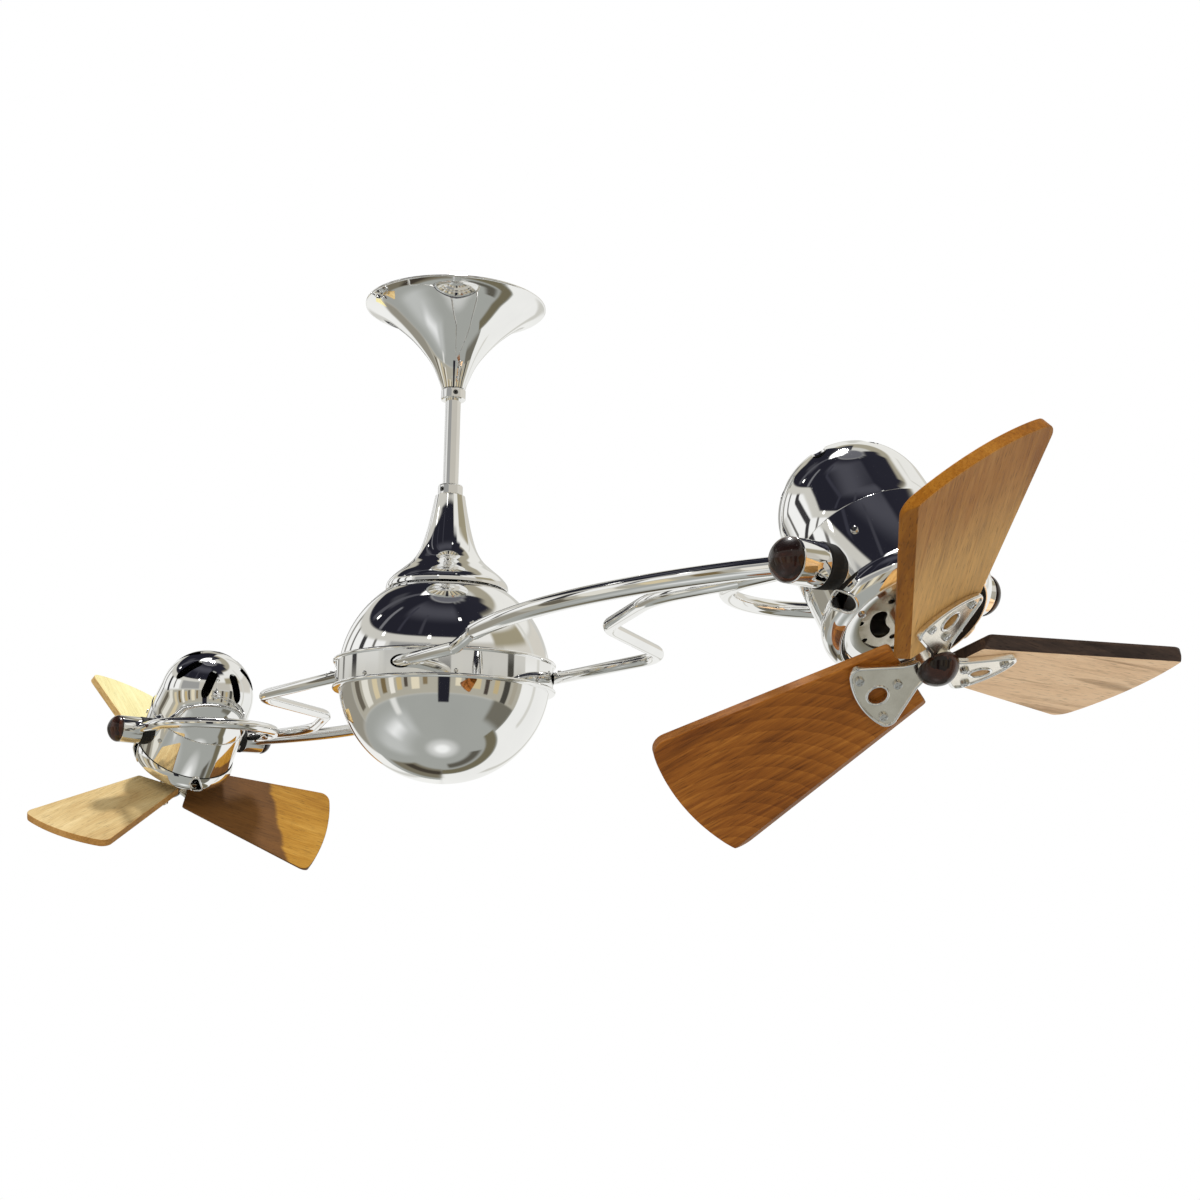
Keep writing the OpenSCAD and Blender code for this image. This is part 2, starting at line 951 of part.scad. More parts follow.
module front_plate(b) {
    color("silver")
        in_head(b)
            difference() {
                union() {
                    translate([0, 0, plate_z])
                        cylinder(r = plate_r, h = 2, $fn = fine);
                    translate([0, 0, plate_z - 4])
                        cylinder(r = 10, h = 8, $fn = small);
                }
                translate([0, 0, plate_z - 10])
                    cylinder(r = bush_r, h = 20, $fn = small);
                plate_screw_holes();
                for (a = [80, 200, 320])
                    rotate([0, 0, a]) {
                        translate([0, 0, plate_z - 1])
                            rotate_extrude(angle = 50, $fn = fine)
                                translate([14, 0])
                                    square([10, 4]);
                        for (e = [0, 50])
                            rotate([0, 0, e])
                                translate([19, 0, plate_z - 1])
                                    cylinder(r = 4.8, h = 4, $fn = small);
                        rotate([0, 0, -30])
                            translate([20, 0, plate_z - 1])
                                cylinder(r = 2.2, h = 4, $fn = small);
                        rotate([0, 0, 8])
                            translate([30, 0, plate_z - 1])
                                cylinder(r = 2, h = 4, $fn = small);
                        rotate([0, 0, 42])
                            translate([30, 0, plate_z - 1])
                                cylinder(r = 2, h = 4, $fn = small);
                    }
            }
}

module front_plate_a() {
    front_plate(false);
}

module front_plate_b() {
    front_plate(true);
}

module stator(b) {
    in_head(b) {
        color("gray")
            difference() {
                translate([0, 0, core_bottom])
                    intersection() {
                        cylinder(r = shell_r - shell_t, h = core_top - core_bottom, $fn = fine);
                        translate([-core_half, -core_half, 0])
                            cube([2 * core_half, 2 * core_half, core_top - core_bottom]);
                    }
                translate([0, 0, core_bottom - eps])
                    cylinder(r = core_bore, h = core_top - core_bottom + 2 * eps, $fn = fine);
                for (i = [0:coil_count - 1])
                    rotate([0, 0, i * 360 / coil_count])
                        translate([coil_pitch_r, 0, core_bottom - eps])
                            cylinder(r = coil_r, h = core_top - core_bottom + 2 * eps, $fn = small);
                shell_holes();
            }
        color("chocolate") {
            ring(coil_out, coil_in, core_top, core_top + coil_h);
            ring(coil_out, coil_in, core_bottom - coil_h, core_bottom);
            for (i = [0:coil_count - 1])
                rotate([0, 0, i * 360 / coil_count])
                    translate([coil_pitch_r, 0, core_bottom])
                        cylinder(r = coil_r, h = core_top - core_bottom, $fn = small);
        }
    }
}

module stator_a() {
    stator(false);
}

module stator_b() {
    stator(true);
}

module bushes(b) {
    color("goldenrod")
        in_head(b) {
            ring(bush_r, shaft_r + bush_fit, plate_z - 4, plate_z + 4);
            ring(bush_r, shaft_r + bush_fit, spider_z - 1, spider_z + 5);
        }
}

module bushes_a() {
    bushes(false);
}

module bushes_b() {
    bushes(true);
}

module on_pivots() {
    for (s = [0, 1])
        mirror([0, s, 0])
            rotate([-90, 0, 0])
                children();
}

module pivot_washers(b) {
    color("black")
        in_head(b)
            difference() {
                on_pivots()
                    difference() {
                        translate([0, 0, 44])
                            cylinder(r = washer_r, h = washer_out - 44, $fn = fine);
                        cylinder(r = bolt_r, h = 100, $fn = small);
                    }
                cylinder(r = shell_r, h = 60, center = true, $fn = fine);
            }
}

module pivot_washers_a() {
    pivot_washers(false);
}

module pivot_washers_b() {
    pivot_washers(true);
}

module pivot_bolts(b) {
    color("silver")
        in_head(b)
            on_pivots() {
                translate([0, 0, 44])
                    cylinder(r = bolt_r, h = 40, $fn = small);
                intersection() {
                    translate([0, 0, 43.2])
                        cylinder(r = 7, h = 6, $fn = small);
                    rotate([90, 0, 0])
                        cylinder(r = shell_r - shell_t, h = 40, center = true, $fn = fine);
                }
            }
}

module pivot_bolts_a() {
    pivot_bolts(false);
}

module pivot_bolts_b() {
    pivot_bolts(true);
}

module shell_screws(b) {
    color("silver")
        in_head(b) {
            for (a = screw_az)
                rotate([0, 0, a])
                    translate([shell_r, 0, shell_screw_z])
                        rotate([0, 90, 0])
                            pan_screw(8);
            for (a = [20, 140, 260])
                rotate([0, 0, a])
                    translate([33, 0, plate_z - 1])
                        rotate([180, 0, 0])
                            pan_screw(3);
        }
}

module shell_screws_a() {
    shell_screws(false);
}

module shell_screws_b() {
    shell_screws(true);
}

// ---- fans ----

module rotor(b) {
    in_fan(b) {
        color("silver")
            translate([0, 0, -hub_back - hub_len])
                cylinder(r = shaft_r, h = hub_back + hub_len + spider_z + 4.5, $fn = small);
        color("gray") {
            ring(core_bore - 0.5, shaft_r, core_bottom, core_top);
            ring(core_bore - 1.5, core_bore - 7, core_top, core_top + 3);
            ring(core_bore - 1.5, core_bore - 7, core_bottom - 3, core_bottom);
        }
    }
}

module rotor_a() {
    rotor(false);
}

module rotor_b() {
    rotor(true);
}

// Flat iron: the front face is at -z
module iron_outline() {
    polygon(concat(
        [[iron_in_u, iron_in_w], [4, iron_in_w - 2], [4, 2 - iron_in_w], [iron_in_u, -iron_in_w]],
        arc([iron_out_u - 5, -iron_out_w + 2], 5.5, -118, -30, 6),
        arc([iron_nose_u - 60, 0], 60, -16, 16, 6),
        arc([iron_out_u - 5, iron_out_w - 2], 5.5, 30, 118, 6)));
}

module iron_inner() {
    polygon(concat(
        [[iron_in_u + 2, iron_in_w - 2], [iron_in_u + 2, 2 - iron_in_w]],
        arc([iron_out_u - 5.5, -iron_out_w + 3], 4.2, -118, -30, 6),
        arc([iron_nose_u - 61.6, 0], 60, -16, 16, 6),
        arc([iron_out_u - 5.5, iron_out_w - 3], 4.2, 30, 118, 6)));
}

module flat_blade_side(z) {
    translate([0, 0, -blade_z])
        rotate([pitch, 0, 0])
            translate([0, 0, z])
                children();
}

module blade_spider(b) {
    color("silver")
        in_fan(b) {
            difference() {
                union() {
                    translate([0, 0, -hub_back - hub_len])
                        cylinder(r = fan_hub_r, h = hub_len, $fn = fine);
                    for (k = [0:2])
                        rotate([0, 0, 120 * k])
                            flat_blade_side(-iron_t)
                                difference() {
                                    union() {
                                        linear_extrude(iron_t)
                                            iron_outline();
                                        translate([0, 0, -iron_rim])
                                            linear_extrude(iron_rim)
                                                difference() {
                                                    iron_outline();
                                                    iron_inner();
                                                }
                                        translate([iron_hole_u, 0, -iron_rim])
                                            cylinder(r = iron_hole_r + 1.6, h = iron_rim, $fn = small);
                                    }
                                    translate([iron_hole_u, 0, -5])
                                        cylinder(r = iron_hole_r, h = 10, $fn = small);
                                    for (p = iron_screws)
                                        translate([p[0], p[1], -5])
                                            cylinder(r = 1.25, h = 10, $fn = small);
                                }
                }
                translate([0, 0, -100])
                    cylinder(r = shaft_r, h = 100, $fn = small);
                translate([0, 0, -hub_back - hub_len - 20])
                    cylinder(r = 20, h = 20, $fn = small);
            }
        }
}

module blade_spider_a() {
    blade_spider(false);
}

module blade_spider_b() {
    blade_spider(true);
}

// Radius of the tip's arc, which is centred a little outside the shaft
tip_arc_r = sweep_r - 9.5;

// Edge of the blade at the root (t = 0) and at the tip (t = 1), on the bevelled side and the other
function bevel_side(t) = t == 0 ? root_shift - root_w / 2 : tip_shift - tip_w / 2;
function plain_side(t) = t == 0 ? root_shift + root_w / 2 : tip_shift + tip_w / 2;
function side_at(a, b, u) = a + (b - a) * (u - root_u) / (tip_u - root_u);

module blade_plan() {
    far_u = tip_u + 14;
    bevel_far = side_at(bevel_side(0), bevel_side(1), far_u);
    plain_far = side_at(plain_side(0), plain_side(1), far_u);
    intersection() {
        rounded_outline([[root_u, bevel_side(0)], [far_u, bevel_far], [far_u, plain_far],
            [root_u, plain_side(0)]], [root_corner_r, 1, 1, root_corner_r]);
        tip_shape();
    }
}

module tip_shape() {
    low = bevel_side(1);
    high = plain_side(1);
    polygon(concat(
        [[0, high + 20], [0, low - 20], [tip_u - 11, low - 20]],
        arc([tip_u - tip_corner_r - 2.5, low + tip_corner_r + 0.2], tip_corner_r, -88, -24, 8),
        [for (p = arc([sweep_r - tip_arc_r, 0], tip_arc_r, -18.5, 13.6, 14)) p],
        arc([tip_u - tip_corner_r + 2, high - tip_corner_r - 0.4], tip_corner_r, 20, 88, 8),
        [[tip_u - 6, high + 20]]));
}

// A small 45 degree cut along one long edge, at height z on side w0 to w1
module edge_cut_bar(w0, w1, z) {
    translate([root_u, w0, z])
        rotate([0, 0, atan2(w1 - w0, tip_u - root_u)])
            rotate([45, 0, 0])
                translate([-5, -edge_cut / 2, -edge_cut / 2])
                    cube([180, edge_cut, edge_cut]);
}

// The wide bevel along the front of one long edge
module wide_bevel() {
    translate([root_u, bevel_side(0), 0])
        rotate([0, 0, atan2(bevel_side(1) - bevel_side(0), tip_u - root_u)])
            translate([-15, 0, 0])
                rotate([90, 0, 90])
                    linear_extrude(200)
                        polygon([[-1, -1], [bevel_w + bevel_w / bevel_d, -1],
                            [-1, bevel_d + bevel_d / bevel_w]]);
}

module blade(b, k) {
    color("peru")
        in_fan(b)
            rotate([0, 0, 120 * k])
                flat_blade_side(0)
                    difference() {
                        linear_extrude(blade_t)
                            blade_plan();
                        wide_bevel();
                        edge_cut_bar(bevel_side(0), bevel_side(1), blade_t);
                        edge_cut_bar(plain_side(0), plain_side(1), 0);
                        edge_cut_bar(plain_side(0), plain_side(1), blade_t);
                        translate([sweep_r - tip_arc_r, 0, 0])
                            rotate_extrude($fn = fine)
                                for (p = [[-1, 1], [blade_t + 1, blade_t - 1]])
                                    polygon([[tip_arc_r - 2, p[0]], [tip_arc_r + 1, p[0]],
                                        [tip_arc_r + 1, p[1] + sign(p[1] - p[0])]]);
                        for (p = iron_screws)
                            translate([p[0], p[1], -eps])
                                cylinder(r = 1.25, h = blade_t / 2 + eps, $fn = small);
                    }
}

module blade_1_a() {
    blade(false, 0);
}

module blade_2_a() {
    blade(false, 1);
}

module blade_3_a() {
    blade(false, 2);
}

module blade_1_b() {
    blade(true, 0);
}

module blade_2_b() {
    blade(true, 1);
}

module blade_3_b() {
    blade(true, 2);
}

module blade_screws(b) {
    color("silver")
        in_fan(b)
            for (k = [0:2])
                rotate([0, 0, 120 * k])
                    flat_blade_side(-iron_t)
                        for (p = iron_screws)
                            translate([p[0], p[1], 0])
                                rotate([180, 0, 0])
                                    pan_screw(iron_t + blade_t / 2);
}

module blade_screws_a() {
    blade_screws(false);
}

module blade_screws_b() {
    blade_screws(true);
}

module finial(b) {
    color("saddlebrown")
        in_fan(b)
            translate([0, 0, -hub_back - hub_len])
                rotate([180, 0, 0])
                    rotate_extrude($fn = fine)
                        polygon(concat(
                            [[0, 0], [finial_r, 0], [finial_r, 1.5]],
                            [for (t = [0.25:0.25:1]) bez([[finial_r, 1.5], [finial_r - 0.4, 6],
                                [6, finial_h - 0.4], [0, finial_h]], t)]));
}

module finial_a() {
    finial(false);
}

module finial_b() {
    finial(true);
}

// ---- clamp knobs ----

module knob(b, far) {
    color("saddlebrown")
        in_head(b)
            mirror([0, far ? 0 : 1, 0])
                rotate([-90, 0, 0])
                    difference() {
                        translate([0, 0, knob_base])
                            rotate_extrude($fn = fine)
                                polygon(concat(
                                    [[0, 0], [knob_r - 0.5, 0], [knob_r, 0.6]],
                                    [for (t = [0.125:0.125:1]) bez([[knob_r, 0.6], [knob_r, 6],
                                        [6, knob_h - 0.6], [0, knob_h]], t)]));
                        cylinder(r = bolt_r + bolt_fit, h = 84.3, $fn = small);
                    }
}

module knob_near_a() {
    knob(false, false);
}

module knob_far_a() {
    knob(false, true);
}

module knob_near_b() {
    knob(true, true);
}

module knob_far_b() {
    knob(true, false);
}

ceiling_bracket();
hanger_ball();
canopy();
rod_collars();
set_screws();
downrod();
bell_cover();
spindle();
spindle_nut();
bearing_inner_races();
slip_rings();
upper_hemisphere();
lower_hemisphere();
equator_band();
carrier();
bearing_outer_races();
brush_holder();
ball_and_arm_screws();
arc_tube_a();
arc_tube_b();
s_tube_a();
s_tube_b();
yoke_a();
yoke_b();
rear_dome_a();
mid_shell_a();
front_cap_a();
front_plate_a();
stator_a();
bushes_a();
pivot_washers_a();
pivot_bolts_a();
shell_screws_a();
rear_dome_b();
mid_shell_b();
front_cap_b();
front_plate_b();
stator_b();
bushes_b();
pivot_washers_b();
pivot_bolts_b();
shell_screws_b();
rotor_a();
blade_spider_a();
blade_1_a();
blade_2_a();
blade_3_a();
blade_screws_a();
finial_a();
rotor_b();
blade_spider_b();
blade_1_b();
blade_2_b();
blade_3_b();
blade_screws_b();
finial_b();
knob_near_a();
knob_far_a();
knob_near_b();
knob_far_b();
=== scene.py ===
"""Looks of the twin head ceiling fan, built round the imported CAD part.

Lengths in the shape code are millimetres in a part's own frame; MM turns them into metres.
Heights on the canopy and rod are from the ceiling, and those on the bell cover, ball and arms
are from the ball's centre.
"""
import math

import bpy
import bmesh
import numpy as np
from mathutils import Matrix, Vector


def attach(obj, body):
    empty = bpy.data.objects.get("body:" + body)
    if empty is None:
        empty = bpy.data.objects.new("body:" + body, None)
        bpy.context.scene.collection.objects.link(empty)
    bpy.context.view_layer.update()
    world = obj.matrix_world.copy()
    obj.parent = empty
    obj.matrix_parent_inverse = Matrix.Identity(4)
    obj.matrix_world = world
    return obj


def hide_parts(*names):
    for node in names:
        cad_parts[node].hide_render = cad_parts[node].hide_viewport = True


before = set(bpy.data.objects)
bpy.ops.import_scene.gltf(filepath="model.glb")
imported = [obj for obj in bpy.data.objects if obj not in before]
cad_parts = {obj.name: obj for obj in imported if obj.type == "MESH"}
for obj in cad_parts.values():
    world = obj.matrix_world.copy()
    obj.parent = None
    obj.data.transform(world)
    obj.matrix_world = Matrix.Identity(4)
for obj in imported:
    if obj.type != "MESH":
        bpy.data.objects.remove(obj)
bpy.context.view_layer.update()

MM = 0.001
BALL_DROP = 316  # from the ceiling to the ball's centre
ARM_REACH = 507  # from the rod's axis to a head's tilt axis
TILT = {"a": 33.3, "b": 42.5}  # of the heads at rest, from straight down
PHASE = {"a": 91.5, "b": 5.7}  # of the blades at rest, round their head
PITCH = 19.5  # of the blades
BLADE_Z = -63.5  # of a blade's front face, in its fan's frame


# ---- frames

def mm(x, y, z):
    return Vector((x * MM, y * MM, z * MM))


def shift(x, y, z):
    return Matrix.Translation(mm(x, y, z))


def turn(degrees, axis):
    return Matrix.Rotation(math.radians(degrees), 4, axis)


ORIGIN = Matrix.Identity(4)
AT_BALL = shift(0, 0, -BALL_DROP)
SIDE = {"a": AT_BALL, "b": AT_BALL @ turn(180, "Z")}
HEAD = {s: SIDE[s] @ shift(ARM_REACH, 0, 0) @ turn(-TILT[s], "Y") for s in "ab"}
FAN = {s: HEAD[s] @ turn(PHASE[s], "Z") for s in "ab"}
ON_ARM, ON_HEAD, ON_FAN = (SIDE, "carousel"), (HEAD, "head_{}"), (FAN, "fan_{}")
THIRDS = [turn(120 * k, "Z") for k in range(3)]


# ---- curves

def bezier(p, t):
    a, b, c, d = ((1 - t) ** 3, 3 * t * (1 - t) ** 2, 3 * t * t * (1 - t), t ** 3)
    return tuple(a * p[0][i] + b * p[1][i] + c * p[2][i] + d * p[3][i] for i in (0, 1))


def bezier_line(p, n):
    return [bezier(p, i / n) for i in range(n + 1)]


def smooth_line(q, n):
    """A line that passes smoothly through all the given points."""
    def at(i):
        return q[max(0, min(len(q) - 1, i))]
    line = []
    for i in range(len(q) - 1):
        a, b, c, d = at(i - 1), at(i), at(i + 1), at(i + 2)
        p = [b, tuple(b[k] + (c[k] - a[k]) / 6 for k in (0, 1)),
             tuple(c[k] - (d[k] - b[k]) / 6 for k in (0, 1)), c]
        line += [bezier(p, t / n) for t in range(n)]
    return line + [q[-1]]


def polar(r, degrees):
    a = math.radians(degrees)
    return r * math.cos(a), r * math.sin(a)


def arc(cx, cy, r, a0, a1, n):
    return [(cx + x, cy + y) for x, y in (polar(r, a0 + (a1 - a0) * i / n) for i in range(n + 1))]


def ring(r, n, x=0):
    """A closed circle of n points."""
    return arc(x, 0, r, 0, 360 - 360 / n, n - 1)


def offset_line(q, d):
    """The line moved sideways by d, and listed backwards."""
    out = []
    for i in range(len(q) - 1, -1, -1):
        a, b = q[max(0, i - 1)], q[min(len(q) - 1, i + 1)]
        tx, ty = b[0] - a[0], b[1] - a[1]
        n = math.hypot(tx, ty) or 1
        out.append((q[i][0] - ty / n * d, q[i][1] + tx / n * d))
    return out


def rounded(points, radii, n=6):
    """A closed outline with rounded corners: points in order, each with its own radius."""
    out = []
    count = len(points)
    for i in range(count):
        p = Vector(points[i])
        a = (Vector(points[i - 1]) - p).normalized()
        b = (Vector(points[(i + 1) % count]) - p).normalized()
        r = radii[i]
        if r <= 0:
            out.append(tuple(p))
            continue
        half = math.acos(max(-1, min(1, a.dot(b)))) / 2
        centre = p + (a + b).normalized() * (r / math.sin(half))
        f = p + a * (r / math.tan(half)) - centre
        g = p + b * (r / math.tan(half)) - centre
        a0 = math.atan2(f.y, f.x)
        raw = math.atan2(g.y, g.x) - a0
        raw = (raw + math.pi) % (2 * math.pi) - math.pi
        for k in range(n + 1):
            t = a0 + raw * k / n
            out.append((centre.x + r * math.cos(t), centre.y + r * math.sin(t)))
    return out


# ---- meshes

def shade(mesh, sharp):
    mesh.polygons.foreach_set("use_smooth", [True] * len(mesh.polygons))
    mesh.set_sharp_from_angle(angle=math.radians(sharp))


def add_object(name, data, place=ORIGIN):
    obj = bpy.data.objects.new(name, data)
    obj.matrix_world = place
    bpy.context.scene.collection.objects.link(obj)
    return obj


def solid(name, bm, place):
    bmesh.ops.recalc_face_normals(bm, faces=bm.faces)
    mesh = bpy.data.meshes.new(name)
    bm.to_mesh(mesh)
    bm.free()
    return add_object(name, mesh, place)


def finish_mesh(name, bm, material, sharp=32, place=AT_BALL):
    bmesh.ops.remove_doubles(bm, verts=bm.verts, dist=1e-7)
    obj = solid(name, bm, place)
    shade(obj.data, sharp)
    obj.data.materials.append(material)
    return obj


def bridge(bm, low, high):
    """Faces from one ring of points to the next."""
    for j in range(len(low)):
        k = (j + 1) % len(low)
        bm.faces.new((low[j], low[k], high[k], high[j]))


def add_lathe(bm, profile, steps, closed=True, matrix=ORIGIN):
    """Turns a profile of (radius, height) round the z axis."""
    rings = []
    for r, z in profile:
        if r < 1e-4:
            rings.append([bm.verts.new(matrix @ mm(0, 0, z))])
        else:
            rings.append([bm.verts.new(matrix @ Vector((
                r * MM * math.cos(2 * math.pi * j / steps),
                r * MM * math.sin(2 * math.pi * j / steps), z * MM))) for j in range(steps)])
    pairs = list(zip(rings, rings[1:])) + ([(rings[-1], rings[0])] if closed else [])
    for low, high in pairs:
        if len(low) == len(high):
            if len(low) > 1:
                bridge(bm, low, high)
            continue
        for j in range(steps):
            k = (j + 1) % steps
            if len(low) == 1:
                bm.faces.new((low[0], high[j], high[k]))
            else:
                bm.faces.new((low[j], low[k], high[0]))


def lathe(name, profile, material, steps=160, place=AT_BALL, closed=True, matrix=ORIGIN):
    bm = bmesh.new()
    add_lathe(bm, profile, steps, closed, matrix)
    return finish_mesh(name, bm, material, place=place)


def add_prism(bm, outline, z0, z1, matrix=ORIGIN):
    low, high = ([bm.verts.new(matrix @ mm(x, y, z)) for x, y in outline]
                 for z in (z0, z1))
    bm.faces.new(list(reversed(low)))
    bm.faces.new(high)
    bridge(bm, low, high)


def stadium(length, width, n):
    r = width / 2
    half = length / 2 - r
    return arc(half, 0, r, -90, 90, n) + arc(-half, 0, r, 90, 270, n)


def carve(obj, fill, sharp=32):
    """Cuts the solids that fill(bm) adds out of an object, in the object's own frame."""
    bm = bmesh.new()
    fill(bm)
    cutter = solid("cutter", bm, obj.matrix_world)
    cut = obj.modifiers.new("cut", "BOOLEAN")
    cut.operation = "DIFFERENCE"
    cut.solver = "EXACT"
    cut.object = cutter
    bpy.context.view_layer.update()
    graph = bpy.context.evaluated_depsgraph_get()
    made = bpy.data.meshes.new_from_object(obj.evaluated_get(graph))
    obj.modifiers.clear()
    used = (obj.data, cutter.data)
    obj.data = made
    bpy.data.objects.remove(cutter)
    for mesh in used:
        bpy.data.meshes.remove(mesh)
    shade(made, sharp)
    return obj


def soften(obj, width, angle):
    """Rounds the edges that are sharper than the angle."""
    soft = obj.modifiers.new("soft_edges", "BEVEL")
    soft.width = width * MM
    soft.segments = 3
    soft.limit_method = "ANGLE"
    soft.angle_limit = math.radians(angle)
    soft.harden_normals = True
    return obj


def path_points(start, segments, heading=0.0, step=1.5):
    """A tube's centre line, as (x, y, heading). A segment is a length, or a bend's radius and turn."""
    x, y = start
    points = [(x, y, heading)]
    for s in segments:
        if len(s) == 1:
            dx, dy = polar(s[0], heading)
            points.append((x + dx, y + dy, heading))
        else:
            bend = s[1]
            r = math.copysign(s[0], bend)
            dx, dy = polar(r, heading)
            cx, cy = x - dy, y + dx
            count = max(4, int(abs(bend) / step) + 1)
            for i in range(1, count + 1):
                h = heading + bend * i / count
                dx, dy = polar(r, h)
                points.append((cx + dy, cy - dx, h))
            heading += bend
        x, y, _ = points[-1]
    return points


def add_tube(bm, points, radius, cut, sides=56):
    """Sweeps a round tube along points in the plane z = 0, with a small round edge at each end."""
    def ahead(p, d):
        dx, dy = polar(d, p[2])
        return (p[0] + dx, p[1] + dy, p[2])
    first, last = points[0], points[-1]
    near = cut * 0.3
    line = [first, ahead(first, near), ahead(first, cut), *points[1:-1],
            ahead(last, -cut), ahead(last, -near), last]
    end = [radius - cut, radius - near]
    radii = end + [radius] * (len(line) - 4) + end[::-1]
    rings = []
    for (x, y, h), r in zip(line, radii):
        c, s = polar(1, h)
        rings.append([bm.verts.new(((x - s * r * math.cos(t)) * MM, (y + c * r * math.cos(t)) * MM,
                                    r * math.sin(t) * MM))
                      for t in (2 * math.pi * j / sides for j in range(sides))])
    for low, high in zip(rings, rings[1:]):
        bridge(bm, low, high)
    bm.faces.new(rings[0])
    bm.faces.new(list(reversed(rings[-1])))


def add_bead(bm, line, normals, radius, loop=True, sides=12):
    """Sweeps a thin round bead along points in space, each with the normal of the face it lies on."""
    line = [Vector(p) * MM for p in line]
    rings = []
    for i, p in enumerate(line):
        before = line[i - 1] if loop or i else p
        after = line[(i + 1) % len(line)] if loop or i < len(line) - 1 else p
        up = Vector(normals[i]).normalized()
        across = (after - before).normalized().cross(up).normalized()
        rings.append([bm.verts.new(p + (up * math.sin(t) + across * math.cos(t)) * radius * MM)
                      for t in (2 * math.pi * j / sides for j in range(sides))])
    for low, high in list(zip(rings, rings[1:])) + ([(rings[-1], rings[0])] if loop else []):
        bridge(bm, low, high)
    if not loop:
        bm.faces.new(rings[0])
        bm.faces.new(list(reversed(rings[-1])))


def without_crumbs(outline, least=0.08):
    """Drops points that nearly repeat the one before."""
    kept = []
    for p in outline:
        if not kept or math.dist(p, kept[-1]) > least:
            kept.append(p)
    if math.dist(kept[0], kept[-1]) <= least:
        kept.pop()
    return kept


SMOOTH_BEND = 0.85  # least cosine of a profile's bend that shades round
ON_PROFILE = 0.9  # least cosine between a face and its profile


def exact_normals(obj, profile):
    """Gives a carved turned piece the exact normals of its profile. Cut walls stay flat."""
    p = np.array(profile, float) * MM
    d = np.roll(p, -1, axis=0) - p
    size = np.maximum(np.hypot(d[:, 0], d[:, 1]), 1e-9)
    flat = np.stack([d[:, 1], -d[:, 0]], 1) / size[:, None]
    before, after = np.roll(flat, 1, axis=0), np.roll(flat, -1, axis=0)
    start, end = (np.where((flat * other).sum(1)[:, None] > SMOOTH_BEND, flat + other, flat)
                  for other in (before, after))
    mesh = obj.data
    co = np.empty(len(mesh.vertices) * 3)
    mesh.vertices.foreach_get("co", co)
    co = co.reshape(-1, 3)
    rz = np.stack([np.hypot(co[:, 0], co[:, 1]), co[:, 2]], 1)
    normals = np.zeros((len(mesh.loops), 3))
    for face in mesh.polygons:
        around = list(face.vertices)
        middle = rz[around].mean(0)
        t = np.clip(((middle - p) * d).sum(1) / size ** 2, 0, 1)
        near = int(np.argmin(np.hypot(*(p + d * t[:, None] - middle).T)))
        facing = np.array(face.normal)
        for k, v in enumerate(around):
            u = float(np.clip(((rz[v] - p[near]) @ d[near]) / size[near] ** 2, 0, 1))
            n = start[near] / np.hypot(*start[near]) * (1 - u) + end[near] / np.hypot(*end[near]) * u
            x, y = (co[v] if rz[v][0] > 1e-6 else face.center)[:2]
            r = math.hypot(x, y) or 1
            full = np.array((n[0] * x / r, n[0] * y / r, n[1]))
            full /= np.linalg.norm(full) or 1
            lean = float(full @ facing)
            turned = full * math.copysign(1, lean)
            normals[face.loop_start + k] = turned if abs(lean) > ON_PROFILE else facing
    mesh.normals_split_custom_set([tuple(n) for n in normals])


def dress(obj, body, slot, *nodes):
    """Settles a piece in the row's frame and hangs it on its body."""
    obj.data.transform(obj.matrix_world)
    obj.matrix_world = ORIGIN
    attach(obj, body)
    if nodes:
        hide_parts(*nodes)


def on_both(first, where, slot, *nodes):
    """Puts the piece on both sides. {} in a name stands for a or b."""
    frames, body = where
    for s in "ab":
        obj = first.copy()
        obj.data = first.data.copy()
        bpy.context.scene.collection.objects.link(obj)
        obj.name = f"{first.name}_{s}"
        obj.matrix_world = frames[s]
        dress(obj, body.format(s), slot, *[n.format(s) for n in nodes])
    bpy.data.objects.remove(first)


# ---- materials

def srgb(r, g, b):
    return tuple(((v / 255 + 0.055) / 1.055) ** 2.4 if v > 10 else v / 255 / 12.92 for v in (r, g, b))


def grey(v):
    return (v, v, v)


def set_sockets(node, values):
    for key, value in values.items():
        node.inputs[key].default_value = value
    return node


class Nodes:
    """The emptied node tree of a world or material. Links start at output sockets."""

    def __init__(self, owner):
        owner.use_nodes = True
        self.tree = owner.node_tree
        self.tree.nodes.clear()

    def node(self, kind, sockets=None, **values):
        made = self.tree.nodes.new(kind)
        for key, value in values.items():
            setattr(made, key, value)
        return set_sockets(made, sockets or {})

    def link(self, source, node, into):
        self.tree.links.new(source, node.inputs[into])


